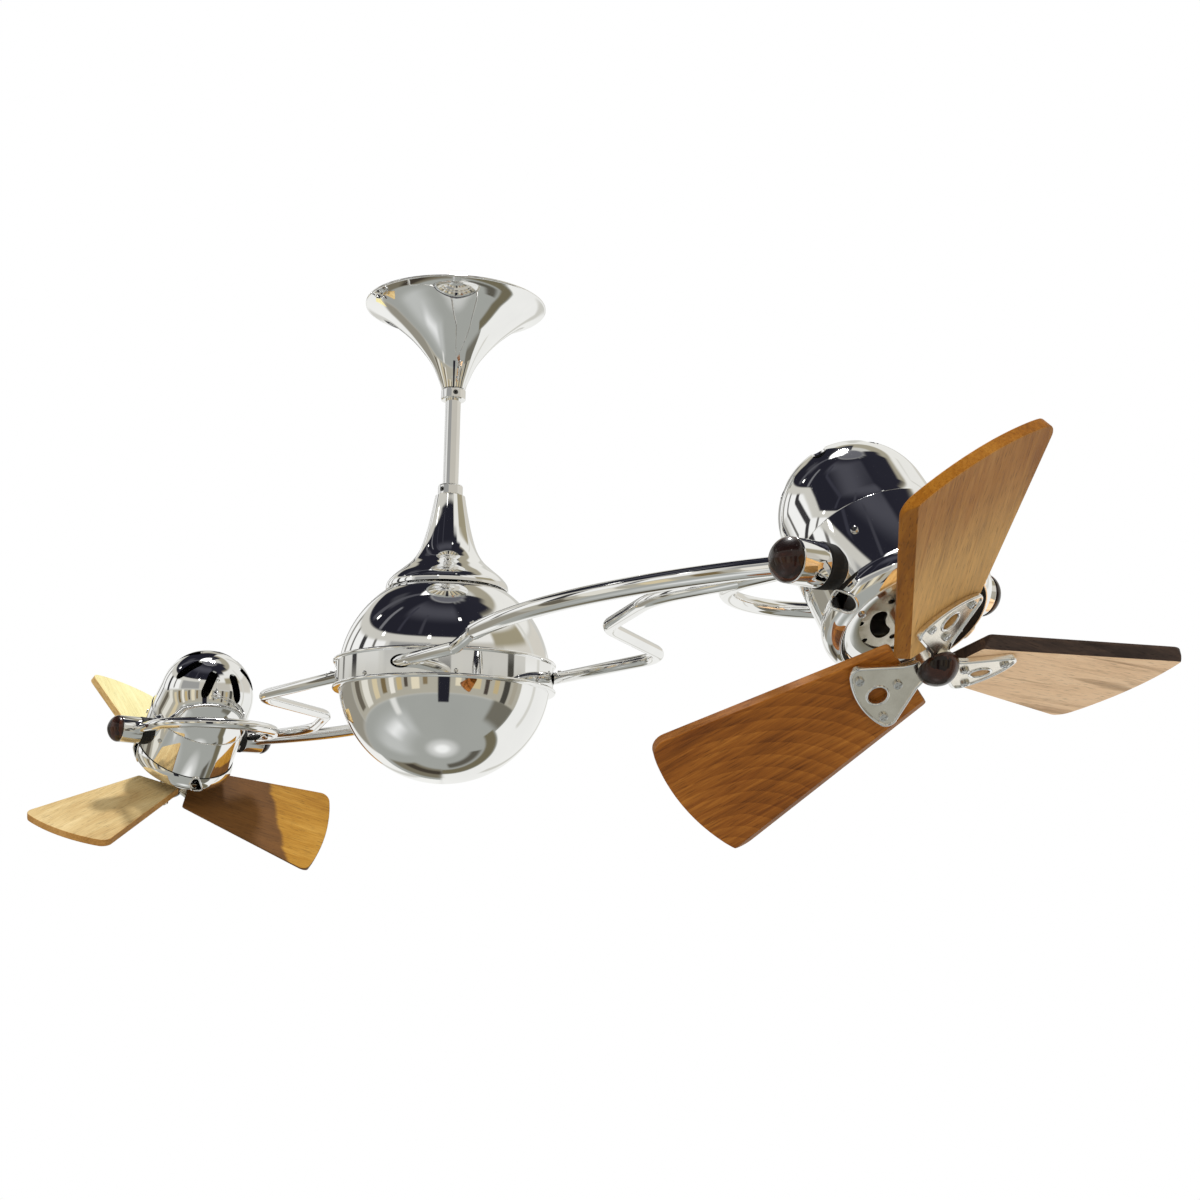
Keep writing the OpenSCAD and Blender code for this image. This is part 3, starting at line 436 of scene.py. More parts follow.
class Graph(Nodes):
    """A material round one Principled shader. Its helpers take and return output sockets."""

    def __init__(self, name):
        self.material = bpy.data.materials.new("look_" + name)
        super().__init__(self.material)
        self.bsdf = self.node("ShaderNodeBsdfPrincipled")
        self.link(self.bsdf.outputs["BSDF"], self.node("ShaderNodeOutputMaterial"), "Surface")
        self.place = self.node("ShaderNodeTexCoord").outputs["Object"]

    def coords(self, scale=(1, 1, 1), move=(0, 0, 0), rotate=(0, 0, 0)):
        made = self.node("ShaderNodeMapping", {"Scale": scale, "Location": move, "Rotation": rotate})
        self.link(self.place, made, "Vector")
        return made.outputs["Vector"]

    def lie_in(self, place):
        """Coordinates run in the given frame from now on."""
        back = place.inverted()
        self.place = self.coords(move=back.to_translation(), rotate=back.to_euler("XYZ"))

    def noise(self, place, scale, detail=4, rough=0.55, distort=0.0):
        made = self.node("ShaderNodeTexNoise", {"Scale": scale, "Detail": detail, "Roughness": rough,
                                                "Distortion": distort})
        self.link(place, made, "Vector")
        return made.outputs["Fac"]

    def ramp(self, source, *stops):
        made = self.node("ShaderNodeValToRGB")
        points = made.color_ramp.elements
        while len(points) < len(stops):
            points.new(1.0)
        for point, (spot, colour) in zip(points, stops):
            point.position = spot
            point.color = (*colour, 1)
        self.link(source, made, "Fac")
        return made.outputs["Color"]

    def drive(self, socket, source, *stops):
        """One of the shader's sockets follows a source through a ramp."""
        self.link(self.ramp(source, *stops), self.bsdf, socket)

    def sum(self, a, b, share):
        """a + share * (b - 0.5)"""
        made = self.node("ShaderNodeMath", {1: share}, operation="MULTIPLY_ADD")
        self.link(b, made, 0)
        self.link(a, made, 2)
        less = self.node("ShaderNodeMath", {1: share / 2}, operation="SUBTRACT", use_clamp=True)
        self.link(made.outputs[0], less, 0)
        return less.outputs[0]

    def mix(self, a, b, factor=None, blend="MIX"):
        made = self.node("ShaderNodeMix", {0: 1.0}, data_type="RGBA", blend_type=blend)
        if factor is not None:
            self.link(factor, made, 0)
        self.link(a, made, 6)
        self.link(b, made, 7)
        return made.outputs[2]

    def bump(self, source, strength, distance):
        made = self.node("ShaderNodeBump", {"Strength": strength, "Distance": distance})
        self.link(source, made, "Height")
        self.link(made.outputs["Normal"], self.bsdf, "Normal")


def surface(name, dark, light, rough, spread, scale, bump, fine=12, deep=0.0002, detail=2, metallic=1.0):
    """A finish whose colour and shine vary softly: two tones, roughness and its spread, size and bump."""
    g = Graph(name)
    place = g.coords()
    soft = g.noise(place, scale)
    g.drive("Base Color", soft, (0.3, dark), (0.7, light))
    g.drive("Roughness", soft, (0.3, grey(rough)), (0.75, grey(rough + spread)))
    set_sockets(g.bsdf, {"Metallic": metallic})
    g.bump(g.noise(place, scale * fine, detail), bump, deep)
    return g.material


def moulded(name, dark, light, rough, scale):
    return surface(name, dark, light, rough, 0.1, scale, 0.03, 10, 0.0003, 3, 0.0)


RING_WAVE = 0.314  # length of Blender's ring wave at scale 1
FIBRE_SCALE = (24, 420, 420)
PATCH_SCALE = (9, 34, 34)
PORE_SCALE = (90, 1500, 1500)
STREAK_SCALE = (5, 75, 75)


def wood(name, place, tones, centre=(60, 400), spacing=17, warp=3.0, figure=0.1, fibre=0.95, tone=0.5,
         stretch=0.45, rough=0.46, coat=0.04, pores=0.45, streak=None, zone=None):
    """Oiled wood sawn along x: growth rings round a centre (millimetres), fibres and short dark pores.

    tones are the dark, middle and light colour in sRGB. streak is the share of the colour that dark
    streaks leave. zone gives a border as (u, lean, softness, colour): before it the wood takes that
    colour, lighter on blade_3_a; on blade_3_b it is darker, a painted shadow over the root.
    """
    g = Graph(name)
    g.lie_in(place)
    dark, middle, light = (srgb(*t) for t in tones)
    look = {"Scale": RING_WAVE / (spacing * MM), "Distortion": warp, "Detail": 6, "Detail Scale": 0.6,
            "Detail Roughness": 0.7}
    ringed = g.node("ShaderNodeTexWave", look, wave_type="RINGS", rings_direction="Z", wave_profile="SAW")
    g.link(g.coords((stretch, 1, 1), (-stretch * centre[0] * MM, -centre[1] * MM, 0)), ringed, "Vector")
    fibres = g.noise(g.coords(FIBRE_SCALE), 1.0, 6, 0.68)
    patches = g.noise(g.coords(PATCH_SCALE), 1.0, 4, 0.6, 0.6)
    fleck = g.noise(g.coords(PORE_SCALE), 1.0, 1)
    level = g.node("ShaderNodeMapRange", {"To Min": 0.5 - figure / 2, "To Max": 0.5 + figure / 2})
    g.link(ringed.outputs["Fac"], level, "Value")
    level = g.sum(g.sum(level.outputs[0], fibres, fibre), patches, tone * 2)
    colour = g.ramp(level, (0.12, dark), (0.5, middle), (0.88, light))
    # a colour before a border across the blade; on blade_3_b the darker root is a painted shadow
    if zone:
        u, lean, soft, root_tone_and_shadow = zone
        split = g.node("ShaderNodeSeparateXYZ")
        g.link(g.coords(), split, "Vector")
        slanted = g.node("ShaderNodeMath", {1: lean}, operation="MULTIPLY_ADD")
        g.link(split.outputs["Y"], slanted, 0)
        g.link(split.outputs["X"], slanted, 2)
        border = g.node("ShaderNodeMapRange", {"From Min": (u - soft) * MM, "From Max": (u + soft) * MM},
                        interpolation_type="SMOOTHSTEP")
        g.link(g.sum(slanted.outputs[0], patches, 0.02), border, "Value")
        deep = g.ramp(level, *[(spot, tuple(share * v for v in srgb(*root_tone_and_shadow)))
                               for spot, share in ((0.12, 0.6), (0.5, 1), (0.88, 1.35))])
        colour = g.mix(deep, colour, border.outputs[0])
    if streak:
        bands = g.noise(g.coords(STREAK_SCALE, (0.7, 0.3, 0)), 1.0, 5, 0.55, 0.4)
        stain = g.ramp(bands, (0.56, grey(1.0)), (0.66, (streak, streak * 0.92, streak * 0.82)))
        colour = g.mix(colour, stain, blend="MULTIPLY")
    dots = g.ramp(fleck, (0.60, grey(1.0)), (0.72, grey(1 - pores)))
    g.link(g.mix(colour, dots, blend="MULTIPLY"), g.bsdf, "Base Color")
    g.drive("Roughness", fibres, (0.3, grey(rough)), (0.75, grey(rough + 0.14)))
    set_sockets(g.bsdf, {"Coat Weight": coat, "Coat Roughness": 0.05 if coat > 0.5 else 0.25,
                         "Specular IOR Level": 0.15})
    g.bump(g.sum(fibres, fleck, -0.5), 0.25, 0.0002)
    return g.material


CHROME = surface("chrome", grey(0.90), (0.95, 0.95, 0.945), 0.025, 0.03, 22, 0.05, 1.5, 0.0006)
SATIN = surface("satin_steel", (0.80, 0.75, 0.66), (0.94, 0.89, 0.80), 0.17, 0.08, 90, 0.10, 14)
ZINC = surface("zinc_steel", grey(0.62), grey(0.76), 0.10, 0.08, 160, 0.05)
DARK_STEEL = surface("dark_steel", grey(0.10), grey(0.17), 0.38, 0.1, 90, 0.05)
BEARING = surface("bearing_steel", grey(0.66), grey(0.77), 0.14, 0.08, 120, 0.03)
COPPER = surface("copper_brass", (0.66, 0.38, 0.20), (0.78, 0.50, 0.28), 0.25, 0.1, 120, 0.05)
CAST = surface("cast_alloy", grey(0.44), grey(0.56), 0.4, 0.15, 150, 0.2)
MOTOR = surface("motor_steel", (0.22, 0.22, 0.23), (0.33, 0.33, 0.34), 0.4, 0.12, 140, 0.1)
BRONZE = surface("bronze", (0.52, 0.33, 0.14), (0.64, 0.44, 0.22), 0.3, 0.1, 100, 0.05)
# painted shade: near-black unpolished steel for the inside of the head shells, seen through slots and
# windows
INNER_SHADE = surface("inner_painted_shade", grey(0.045), grey(0.085), 0.5, 0.1, 120, 0.1)
BROWN = moulded("brown_plastic", (0.10, 0.045, 0.02), (0.16, 0.075, 0.035), 0.4, 40)
RUBBER = moulded("black_rubber", grey(0.003), grey(0.008), 0.7, 60)
KNOB = wood("knob_wood", ORIGIN, ((12, 6, 5), (30, 14, 10), (66, 32, 18)), centre=(0, 60), spacing=6, warp=4,
            figure=0.5, fibre=0.4, tone=0.6, rough=0.3, coat=0.7, pores=0.3)

FLAT = shift(0, 0, BLADE_Z) @ turn(PITCH, "X")
BLADE_PLACE = {f"blade_{k + 1}_{s}": FAN[s] @ THIRDS[k] @ FLAT for s in "ab" for k in range(3)}

# Each blade's slot in the record, and the wood of its two faces and of its edges
WOODS = {
    "blade_1_a": dict(
        slot="wood_pale",
        face=dict(tones=((208, 168, 126), (240, 202, 158), (248, 218, 180)), centre=(-300, -420),
                  spacing=42, warp=7.0, figure=0.12, tone=0.3, streak=0.6),
        # blade_1_a's edges are near black, far darker than its face
        edge=dict(tones=((40, 30, 25), (64, 50, 42), (88, 68, 54)), figure=0.2)),
    "blade_2_a": dict(
        slot="wood_red",
        face=dict(tones=((92, 46, 4), (144, 83, 20), (182, 116, 40)), centre=(168, -56),
                  spacing=8, warp=2.4, figure=0.17, stretch=0.8, streak=0.8),
        edge=dict(tones=((108, 60, 20), (146, 92, 40), (176, 118, 60)))),
    "blade_3_a": dict(
        slot="wood_gold",
        face=dict(tones=((130, 80, 30), (168, 114, 54), (192, 142, 80)), centre=(40, -500),
                  spacing=34, warp=6.0, figure=0.08, tone=0.4, streak=0.9,
                  zone=(112, 0.1, 42, (204, 158, 94))),
        edge=dict(tones=((108, 62, 10), (144, 88, 16), (168, 112, 34)))),
    "blade_1_b": dict(
        slot="wood_pale",
        face=dict(tones=((190, 172, 116), (212, 202, 148), (226, 218, 170)), figure=0.08, tone=0.3,
                  pores=0.25),
        edge=dict(tones=((170, 132, 78), (206, 172, 112), (226, 198, 140)))),
    "blade_2_b": dict(
        slot="wood_gold",
        face=dict(tones=((158, 124, 74), (184, 158, 108), (206, 184, 136)), figure=0.08),
        edge=dict(tones=((140, 96, 44), (174, 126, 64), (198, 152, 90)))),
    "blade_3_b": dict(
        slot="wood_gold",
        face=dict(tones=((134, 86, 14), (166, 118, 36), (190, 144, 62)), tone=0.4,
                  # darker root with a sharp border: a painted shadow
                  zone=(112, 0.45, 3, (104, 68, 30))),
        edge=dict(tones=((70, 44, 20), (100, 68, 34), (128, 90, 48)))),
}


# ---- camera and light

VIEW_AZIMUTH, VIEW_ELEVATION = math.radians(59.4), math.radians(-8.66)
VIEW_TILT, VIEW_PAN, VIEW_ROLL = (math.radians(v) for v in (-2.58, 4.78, -1.78))
VIEW_DISTANCE = 1.4861
FOCAL_PIXELS = 1829.2
IMAGE_PIXELS = 1200
SENSOR = 36.0
TOWARD_CAMERA = Vector((math.sin(VIEW_AZIMUTH), -math.cos(VIEW_AZIMUTH), 0))
IMAGE_RIGHT = Vector((math.cos(VIEW_AZIMUTH), math.sin(VIEW_AZIMUTH), 0))
UP = Vector((0, 0, 1))
CENTRE = mm(0, 0, -BALL_DROP)
AMBIENT = 0.62
FLOOR_Z = -3.0
FLOOR_SIZE = 16.0
STUDIO_R = 5.0


def place_camera():
    back = TOWARD_CAMERA * math.cos(VIEW_ELEVATION) + UP * math.sin(VIEW_ELEVATION)
    plain = Matrix((IMAGE_RIGHT, IMAGE_RIGHT.cross(-back), back))
    swing = (Matrix.Rotation(VIEW_ROLL, 3, "Z") @ Matrix.Rotation(VIEW_PAN, 3, "Y")
             @ Matrix.Rotation(VIEW_TILT, 3, "X"))
    data = bpy.data.cameras.new("camera")
    data.sensor_width = SENSOR
    data.lens = FOCAL_PIXELS / IMAGE_PIXELS * SENSOR
    data.clip_start = 0.01
    place = Matrix.Translation(back * VIEW_DISTANCE + CENTRE) @ (swing @ plain).transposed().to_4x4()
    bpy.context.scene.camera = add_object("camera", data, place)


def set_world():
    """Soft even light, and white where the camera, a reflection or glass looks past the object."""
    bpy.context.scene.world = bpy.data.worlds.new("world")
    n = Nodes(bpy.context.scene.world)
    path = n.node("ShaderNodeLightPath")
    found = path.outputs["Is Camera Ray"]
    for other in ("Is Glossy Ray", "Is Transmission Ray"):
        either = n.node("ShaderNodeMath", operation="MAXIMUM")
        n.link(found, either, 0)
        n.link(path.outputs[other], either, 1)
        found = either.outputs[0]
    mix = n.node("ShaderNodeMixShader")
    n.link(found, mix, 0)
    for into, strength in ((1, AMBIENT), (2, 1.0)):
        light = n.node("ShaderNodeBackground", {"Color": (1, 1, 1, 1), "Strength": strength})
        n.link(light.outputs[0], mix, into)
    n.link(mix.outputs[0], n.node("ShaderNodeOutputWorld"), "Surface")


def lamp(name, spot, target, size, power, glossy):
    data = bpy.data.lights.new(name, "AREA")
    data.shape = "DISK"
    data.size = size
    data.energy = power
    made = add_object(name, data)
    made.location = spot
    made.rotation_euler = (Vector(target) - Vector(spot)).to_track_quat("-Z", "Y").to_euler()
    made.visible_glossy = glossy


def build_floor():
    h = FLOOR_SIZE / 2
    mesh = bpy.data.meshes.new("floor")
    mesh.from_pydata([(x, y, FLOOR_Z) for x, y in ((-h, -h), (h, -h), (h, h), (-h, h))], [], [(0, 1, 2, 3)])
    floor = add_object("floor", mesh)
    g = Graph("floor")
    g.drive("Base Color", g.noise(g.coords(), 2.0), (0.3, grey(0.86)), (0.7, grey(0.90)))
    set_sockets(g.bsdf, {"Roughness": 0.8})
    floor.data.materials.append(g.material)
    floor.visible_glossy = False


# What the chrome reflects, as (azimuth from, to, elevation from, to, edge softness, sRGB colour) and for
# lamps a level. Azimuth 0 is the camera's side and +90 the image's right. Later ones cover earlier ones.
STUDIO = [
    # walls and floor, with light on the floor
    (-180, 180, -90, 90, 1, (206, 205, 199)),
    (-180, 180, -90, -24, 5, (163, 165, 160)),
    (-130, -52, -62, -38, 18, (192, 194, 191)),
    (-100, -70, -54, -44, 12, (236, 237, 236)),
    (-66, -58, -40, -18, 5, (226, 226, 222)),
    (-180, 180, -90, -78, 8, (206, 207, 204)),
    (-180, 180, -90, -84, 6, (246, 247, 245)),
    (60, 92, -44, -18, 8, (112, 109, 98)),
    # white backdrop and its dark border
    (92, 180, -45, 14, 1.5, (242, 242, 239)),
    (86, 180, -55, -46, 3, (112, 106, 86)),
    (116, 172, -66, -58, 5, (92, 89, 80)),
    (-180, -150, -56, -34, 5, (120, 114, 98)),
    (-180, -152, -52, -44, 4, (66, 60, 52)),
    (-180, -150, -28, 12, 2, (244, 244, 241)),
    (-150, -118, -24, 4, 6, (150, 146, 134)),
    (-180, -72, 10, 28, 4, (247, 247, 245)),
    # posts, and the walls over the shelves
    (-178, -164, 10, 60, 3, (66, 65, 66)),
    (-150, -144, 6, 38, 2, (150, 148, 142)),
    (-132, -128, 8, 38, 2, (104, 102, 98)),
    (-112, -104, 8, 38, 2, (58, 57, 58)),
    (-90, -86, 12, 38, 2, (110, 108, 104)),
    (-66, -16, 10, 30, 5, (156, 156, 154)),
    (-16, 70, 10, 30, 4, (196, 192, 182)),
    (70, 150, 10, 30, 4, (214, 210, 200)),
    (-160, 180, 28, 38, 3, (206, 204, 196)),
    (30, 180, 30, 58, 4, (236, 235, 230)),
    (58, 108, 26, 40, 6, (160, 152, 128)),
    (62, 180, 56, 70, 4, (166, 160, 142)),
    # joints of the backdrop
    (112, 117, -28, 50, 3, (216, 215, 208)),
    (160, 165, -28, 50, 3, (208, 207, 200)),
    (-172, -167, -28, 34, 3, (210, 209, 203)),
    # shelves of the room
    (-118, 92, -24, 8, 2, (176, 172, 158)),
    (-112, -104, -20, 6, 1.5, (104, 98, 86)),
    (-100, -90, -22, 8, 1.5, (228, 225, 214)),
    (-84, -77, -20, 4, 1.5, (214, 200, 166)),
    (-72, -66, -18, 6, 1, (120, 104, 74)),
    (-62, -56, -20, 8, 1, (236, 232, 222)),
    (-53, -47, -18, 4, 1, (196, 176, 130)),
    (-44, -40, -16, 6, 1, (84, 76, 66)),
    (-36, -27, -19, 8, 1, (228, 218, 192)),
    (-23, -18, -15, 6, 1, (132, 116, 88)),
    (12, 18, -16, 8, 1, (226, 216, 190)),
    (22, 26, -19, 6, 1, (92, 82, 70)),
    (31, 40, -17, 8, 1, (206, 188, 148)),
    (45, 50, -21, 8, 1, (74, 66, 60)),
    (56, 62, -18, 6, 1, (190, 172, 132)),
    (68, 76, -24, 10, 1.5, (70, 68, 62)),
    (80, 86, -22, 8, 1.5, (168, 162, 146)),
    # dark panel
    (-7, 6, -34, 9, 1.5, (36, 36, 44)),
    # dark ceiling
    (-180, 26, 35, 79, 1.5, (36, 36, 45)),
    (20, 44, 43, 79, 8, (37, 37, 46)),
    (34, 64, 50, 79, 8, (38, 38, 47)),
    (50, 96, 58, 79, 8, (39, 39, 48)),
    (80, 116, 65, 79, 7, (40, 40, 49)),
    (160, 180, 62, 79, 2, (46, 46, 54)),
    (-180, -156, 34, 46, 4, (188, 184, 170)),
    (-134, -108, 50, 60, 6, (66, 66, 72)),
    (-70, 20, 56, 72, 14, (74, 74, 82)),
    (-180, 180, 79, 90, 4, (104, 104, 110)),
    # beams
    (-122, -114, 38, 72, 3, (84, 84, 90)),
    (-94, -89, 36, 58, 2, (120, 120, 124)),
    (-64, -60, 38, 66, 2, (56, 56, 66)),
    (-34, -30, 37, 60, 2, (62, 62, 70)),
    # lamps
    (-180, -112, 72, 84, 3, (255, 255, 252), 2.2),
    (-82, -79, 32, 35, 0.8, (255, 255, 250), 5),
    (-21, -18, 33, 36, 0.8, (255, 255, 250), 5),
    (20, 24, 55, 58, 0.8, (255, 255, 250), 4),
    (-112, -109, 40, 43, 0.6, (255, 255, 250), 4),
]


def studio_light(azimuth, elevation):
    """Colour of the studio at arrays of directions."""
    def inside(value, low, high, soft):
        t = np.clip(np.minimum(value - low, high - value) / soft + 0.5, 0, 1)
        return t * t * (3 - 2 * t)
    colour = np.zeros(azimuth.shape + (3,))
    for a0, a1, e0, e1, soft, rgb, *level in STUDIO:
        turned = [inside(azimuth + k, a0, a1, soft) for k in (-360, 0, 360)]
        share = np.maximum.reduce(turned) if (a0, a1) != (-180, 180) else 1
        low, high = (e0 if e0 > -90 else -99), (e1 if e1 < 90 else 99)
        share = (share * inside(elevation, low, high, soft))[..., None]
        colour = colour * (1 - share) + np.array(srgb(*rgb)) * (level[0] if level else 1) * share
    return colour


def build_studio():
    """A room that only reflections see."""
    steps, rows = 480, 240
    azimuth, elevation = np.meshgrid(np.linspace(-180, 180, steps, endpoint=False),
                                     np.linspace(-90, 90, rows + 1))
    a, e = np.radians(azimuth)[..., None], np.radians(elevation)[..., None]
    spots = (np.cos(e) * (np.cos(a) * np.array(TOWARD_CAMERA) + np.sin(a) * np.array(IMAGE_RIGHT))
             + np.sin(e) * np.array(UP)) * STUDIO_R
    row = np.arange(rows)[:, None] * steps
    first = (row + np.arange(steps)).ravel()
    second = (row + (np.arange(steps) + 1) % steps).ravel()
    faces = np.stack([first, second, second + steps, first + steps], 1)
    mesh = bpy.data.meshes.new("studio")
    mesh.from_pydata(spots.reshape(-1, 3).tolist(), [], faces.tolist())
    glow = mesh.color_attributes.new("glow", "FLOAT_COLOR", "POINT")
    light = studio_light(azimuth, elevation).reshape(-1, 3)
    light = np.concatenate([light, np.ones((len(light), 1))], 1)
    glow.data.foreach_set("color", light.astype(np.float32).ravel())
    dome = add_object("studio", mesh, AT_BALL)
    for kind in ("camera", "diffuse", "transmission", "volume_scatter", "shadow"):
        setattr(dome, "visible_" + kind, False)
    material = bpy.data.materials.new("studio")
    material.cycles.emission_sampling = "NONE"
    n = Nodes(material)
    shine = n.node("ShaderNodeEmission")
    n.link(n.node("ShaderNodeVertexColor", layer_name="glow").outputs["Color"], shine, "Color")
    n.link(shine.outputs[0], n.node("ShaderNodeOutputMaterial"), "Surface")
    mesh.materials.append(material)


place_camera()
set_world()
build_floor()
build_studio()
lamp("key_lamp", (-0.35, 0.25, 2.2), (0, 0, -0.3), size=0.34, power=60, glossy=True)
lamp("fill_lamp", (2.4, -2.2, 1.2), (0, 0, -0.4), size=2.0, power=60, glossy=False)


# ---- CAD parts that stay

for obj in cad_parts.values():
    obj.data.materials.clear()
    obj.data.materials.append(CHROME)
for finish, names in (
        (ZINC, ["ceiling_bracket", "pivot_bolts_a", "pivot_bolts_b", "spindle_nut"]),
        (DARK_STEEL, ["set_screws", "spindle", "hanger_ball"]),
        (BEARING, ["bearing_inner_races", "bearing_outer_races"]),
        (COPPER, ["slip_rings"]),
        (BROWN, ["brush_holder"]),
        (CAST, ["carrier"]),
        (MOTOR, ["stator_a", "stator_b", "rotor_a", "rotor_b"]),
        (BRONZE, ["bushes_a", "bushes_b"])):
    for name in names:
        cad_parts[name].data.materials[0] = finish


# ---- screws, with the sizes that screw_mesh takes

BAND_SCREW = (1.7, 1.3, 0.8, 1.25, 6, 1.0)
ARM_SCREW = (1.6, 0.9, 0.5, 0.9, 1, 0.9)
SHELL_SCREW = (2.3, 1.3, 0.8, 1.25, 8, 1.4)
PLATE_SCREW = (2.3, 1.3, 0.8, 1.25, 3, 1.4)
IRON_SCREW = (2.8, 1.9, 0.9, 1.25, 6.5, 2.0)


def screw_mesh(head_r, head_h, edge, shank_r, length, cross):
    """One screw with a cross recess: its seat is at z = 0, and its shank goes down."""
    profile = [(0, -length), (shank_r, -length), (shank_r, 0), (head_r, 0)]
    profile += arc(head_r - edge, head_h - edge, edge, 0, 90, 6) + [(0, head_h)]
    head = lathe("screw", profile, ZINC, 28, ORIGIN, False)
    w = cross * 0.17
    plus = [(cross, w), (w, w), (w, cross), (-w, cross), (-w, w), (-cross, w),
            (-cross, -w), (-w, -w), (-w, -cross), (w, -cross), (w, -w), (cross, -w)]
    carve(head, lambda bm: add_prism(bm, plus, head_h - 0.45 * edge - 0.25, head_h + 1))
    mesh = head.data
    bpy.data.objects.remove(head)
    return mesh


def screws(name, *sets):
    """Screws, joined as one piece. Each set is a screw's sizes and the places of its copies."""
    bm = bmesh.new()
    for sizes, places in sets:
        mesh = screw_mesh(*sizes)
        for place in places:
            copy = mesh.copy()
            copy.transform(place)
            bm.from_mesh(copy)
            bpy.data.meshes.remove(copy)
    return finish_mesh(name, bm, ZINC, 30)


def outward(turned, r, z):
    """A place that faces out from the z axis, at a turn, radius and height."""
    return turn(turned, "Z") @ shift(r, 0, z) @ turn(90, "Y")


# ---- hanger

ROD_R = 6.35
CANOPY_H = 73
CANOPY = [(75.5, -1.5), (66, -0.07 * CANOPY_H), (54, -0.178 * CANOPY_H), (36, -0.397 * CANOPY_H),
          (20, -0.671 * CANOPY_H), (12.2, -0.9 * CANOPY_H), (9.8, -CANOPY_H)]
BELL = [(12.3, 151), (14.6, 138), (18.3, 121), (22.9, 106), (28.8, 96), (36.2, 89), (44.2, 82.2),
        (48.9, 76.5), (50, 71.5)]
SHEET_T = 1.3
COLLAR_R = 10.2
COLLAR_H = 9.5
SET_SCREW_R = 2.1
# Each collar: frame, lower end and turn of its set screw. The first stands for both in the CAD part
COLLARS = {"canopy_collar": (ORIGIN, -CANOPY_H - COLLAR_H, -20, "rod_collars"),
           "bell_collar": (AT_BALL, 151, -73)}


def spun(q):
    """Profile of a spun sheet whose outside passes smoothly through the given points."""
    line = smooth_line(q, 16)
    return line + offset_line(line, -SHEET_T)


def build_hanger():
    dress(lathe("canopy_spun", spun(CANOPY), CHROME, 256, ORIGIN), "hanger", "chrome", "canopy")
    rim = rounded([(72.2, -1.9), (75.5, -1.9), (75.5, -0.2), (72.2, -0.2)], [0.3, 0.8, 0.8, 0.3])
    dress(lathe("canopy_rim", rim, CHROME, 256, ORIGIN), "hanger", "chrome")
    for name, (place, z, turned, *nodes) in COLLARS.items():
        profile = ([(ROD_R, z), (COLLAR_R - 0.8, z)] + arc(COLLAR_R - 1.2, z + 1.2, 1.2, -60, 0, 6)
                   + arc(COLLAR_R - 1.6, z + COLLAR_H - 1.6, 1.6, 0, 80, 8) + [(ROD_R, z + COLLAR_H)])
        made = lathe(name, profile, CHROME, 128, place)
        across = outward(turned, 0, z + COLLAR_H / 2)
        carve(made, lambda bm: add_prism(bm, ring(SET_SCREW_R, 32), 0, COLLAR_R + 1, across))
        exact_normals(made, profile)
        dress(made, "hanger", "chrome", *nodes)
    rod = [(ROD_R - 1.5, -198), (ROD_R, -198), (ROD_R, -14), (ROD_R - 1.5, -14)]
    dress(lathe("downrod_tube", rod, CHROME, 128, ORIGIN), "hanger", "chrome", "downrod")
    dress(lathe("bell_spun", spun(BELL), CHROME, 256), "hanger", "chrome", "bell_cover")
    cap = rounded([(ROD_R, 149.2), (12.1, 149.2), (12.3, 151.1), (ROD_R, 151.1)], [0, 0.2, 0.4, 0])
    dress(lathe("bell_top_ring", cap, CHROME, 128), "hanger", "chrome")


# ---- ball and arms

BALL_R = 85.5
BALL_T = 1.5
BALL_MOUTH_R = 15
BAND_H = 9.5  # half the band's height between its rims
BAND_R = 88
BAND_IN_R = 84
BAND_RIM = arc(88.5, BAND_H + 1.2, 1.5, -80, 80, 12)
BAND_SCREW_Z = -7.25
BAND_SCREW_TURNS = (-75, -25, 25, 75, 105, 155, 205, 255)
TUBE_Y = 70
ARC_R = 6
THIN_R = 4.75
YOKE_TUBE_R = 5.2
YOKE_R = 61.8
YOKE_LEG = 52
ARC_THIN = [[128.6], [16, -20.5], [64.7], [16, 5.9]]
ARC_THICK = [[453, 39.76]]
S_BENDS = [[175], [48, -56], [86], [45, 36], [66], [110, 27], [51.5]]
BARREL = [(4, 56.5)] + arc(12.5, 57.5, 1, -90, 0, 6) + arc(12.5, 76.5, 1, 0, 90, 6) + [(4, 77.5)]


def build_ball():
    seam = math.degrees(math.asin(BAND_H / BALL_R))
    mouth = math.degrees(math.acos(BALL_MOUTH_R / BALL_R))
    for name, low, high, node in (("ball_top", seam, mouth, "upper_hemisphere"),
                                  ("ball_bottom", -90, -seam, "lower_hemisphere")):
        profile = arc(0, 0, BALL_R, low, high, 60) + arc(0, 0, BALL_R - BALL_T, high, low, 60)
        dress(lathe(name, profile, CHROME, 256), "carousel", "chrome", node)
    profile = [(BAND_IN_R, -BAND_H - 2.7)] + [(x, -z) for x, z in reversed(BAND_RIM)]
    profile += [(BAND_R, -BAND_H + 0.6), (BAND_R, BAND_H - 0.6)] + BAND_RIM + [(BAND_IN_R, BAND_H + 2.7)]
    band = lathe("ball_band", profile, CHROME, 256)
    hole = ring(THIN_R + 0.7, 40)
    carve(band, lambda bm: [add_prism(bm, hole, -110, 110, shift(0, y, 0) @ turn(90, "Y"))
                            for y in (-TUBE_Y, TUBE_Y)])
    exact_normals(band, profile)
    dress(band, "carousel", "chrome", "equator_band")
    places = [outward(a, BAND_R, BAND_SCREW_Z) for a in BAND_SCREW_TURNS]
    made = screws("band_screw_heads", (BAND_SCREW, places))
    dress(made, "carousel", "zinc_steel", "ball_and_arm_screws")


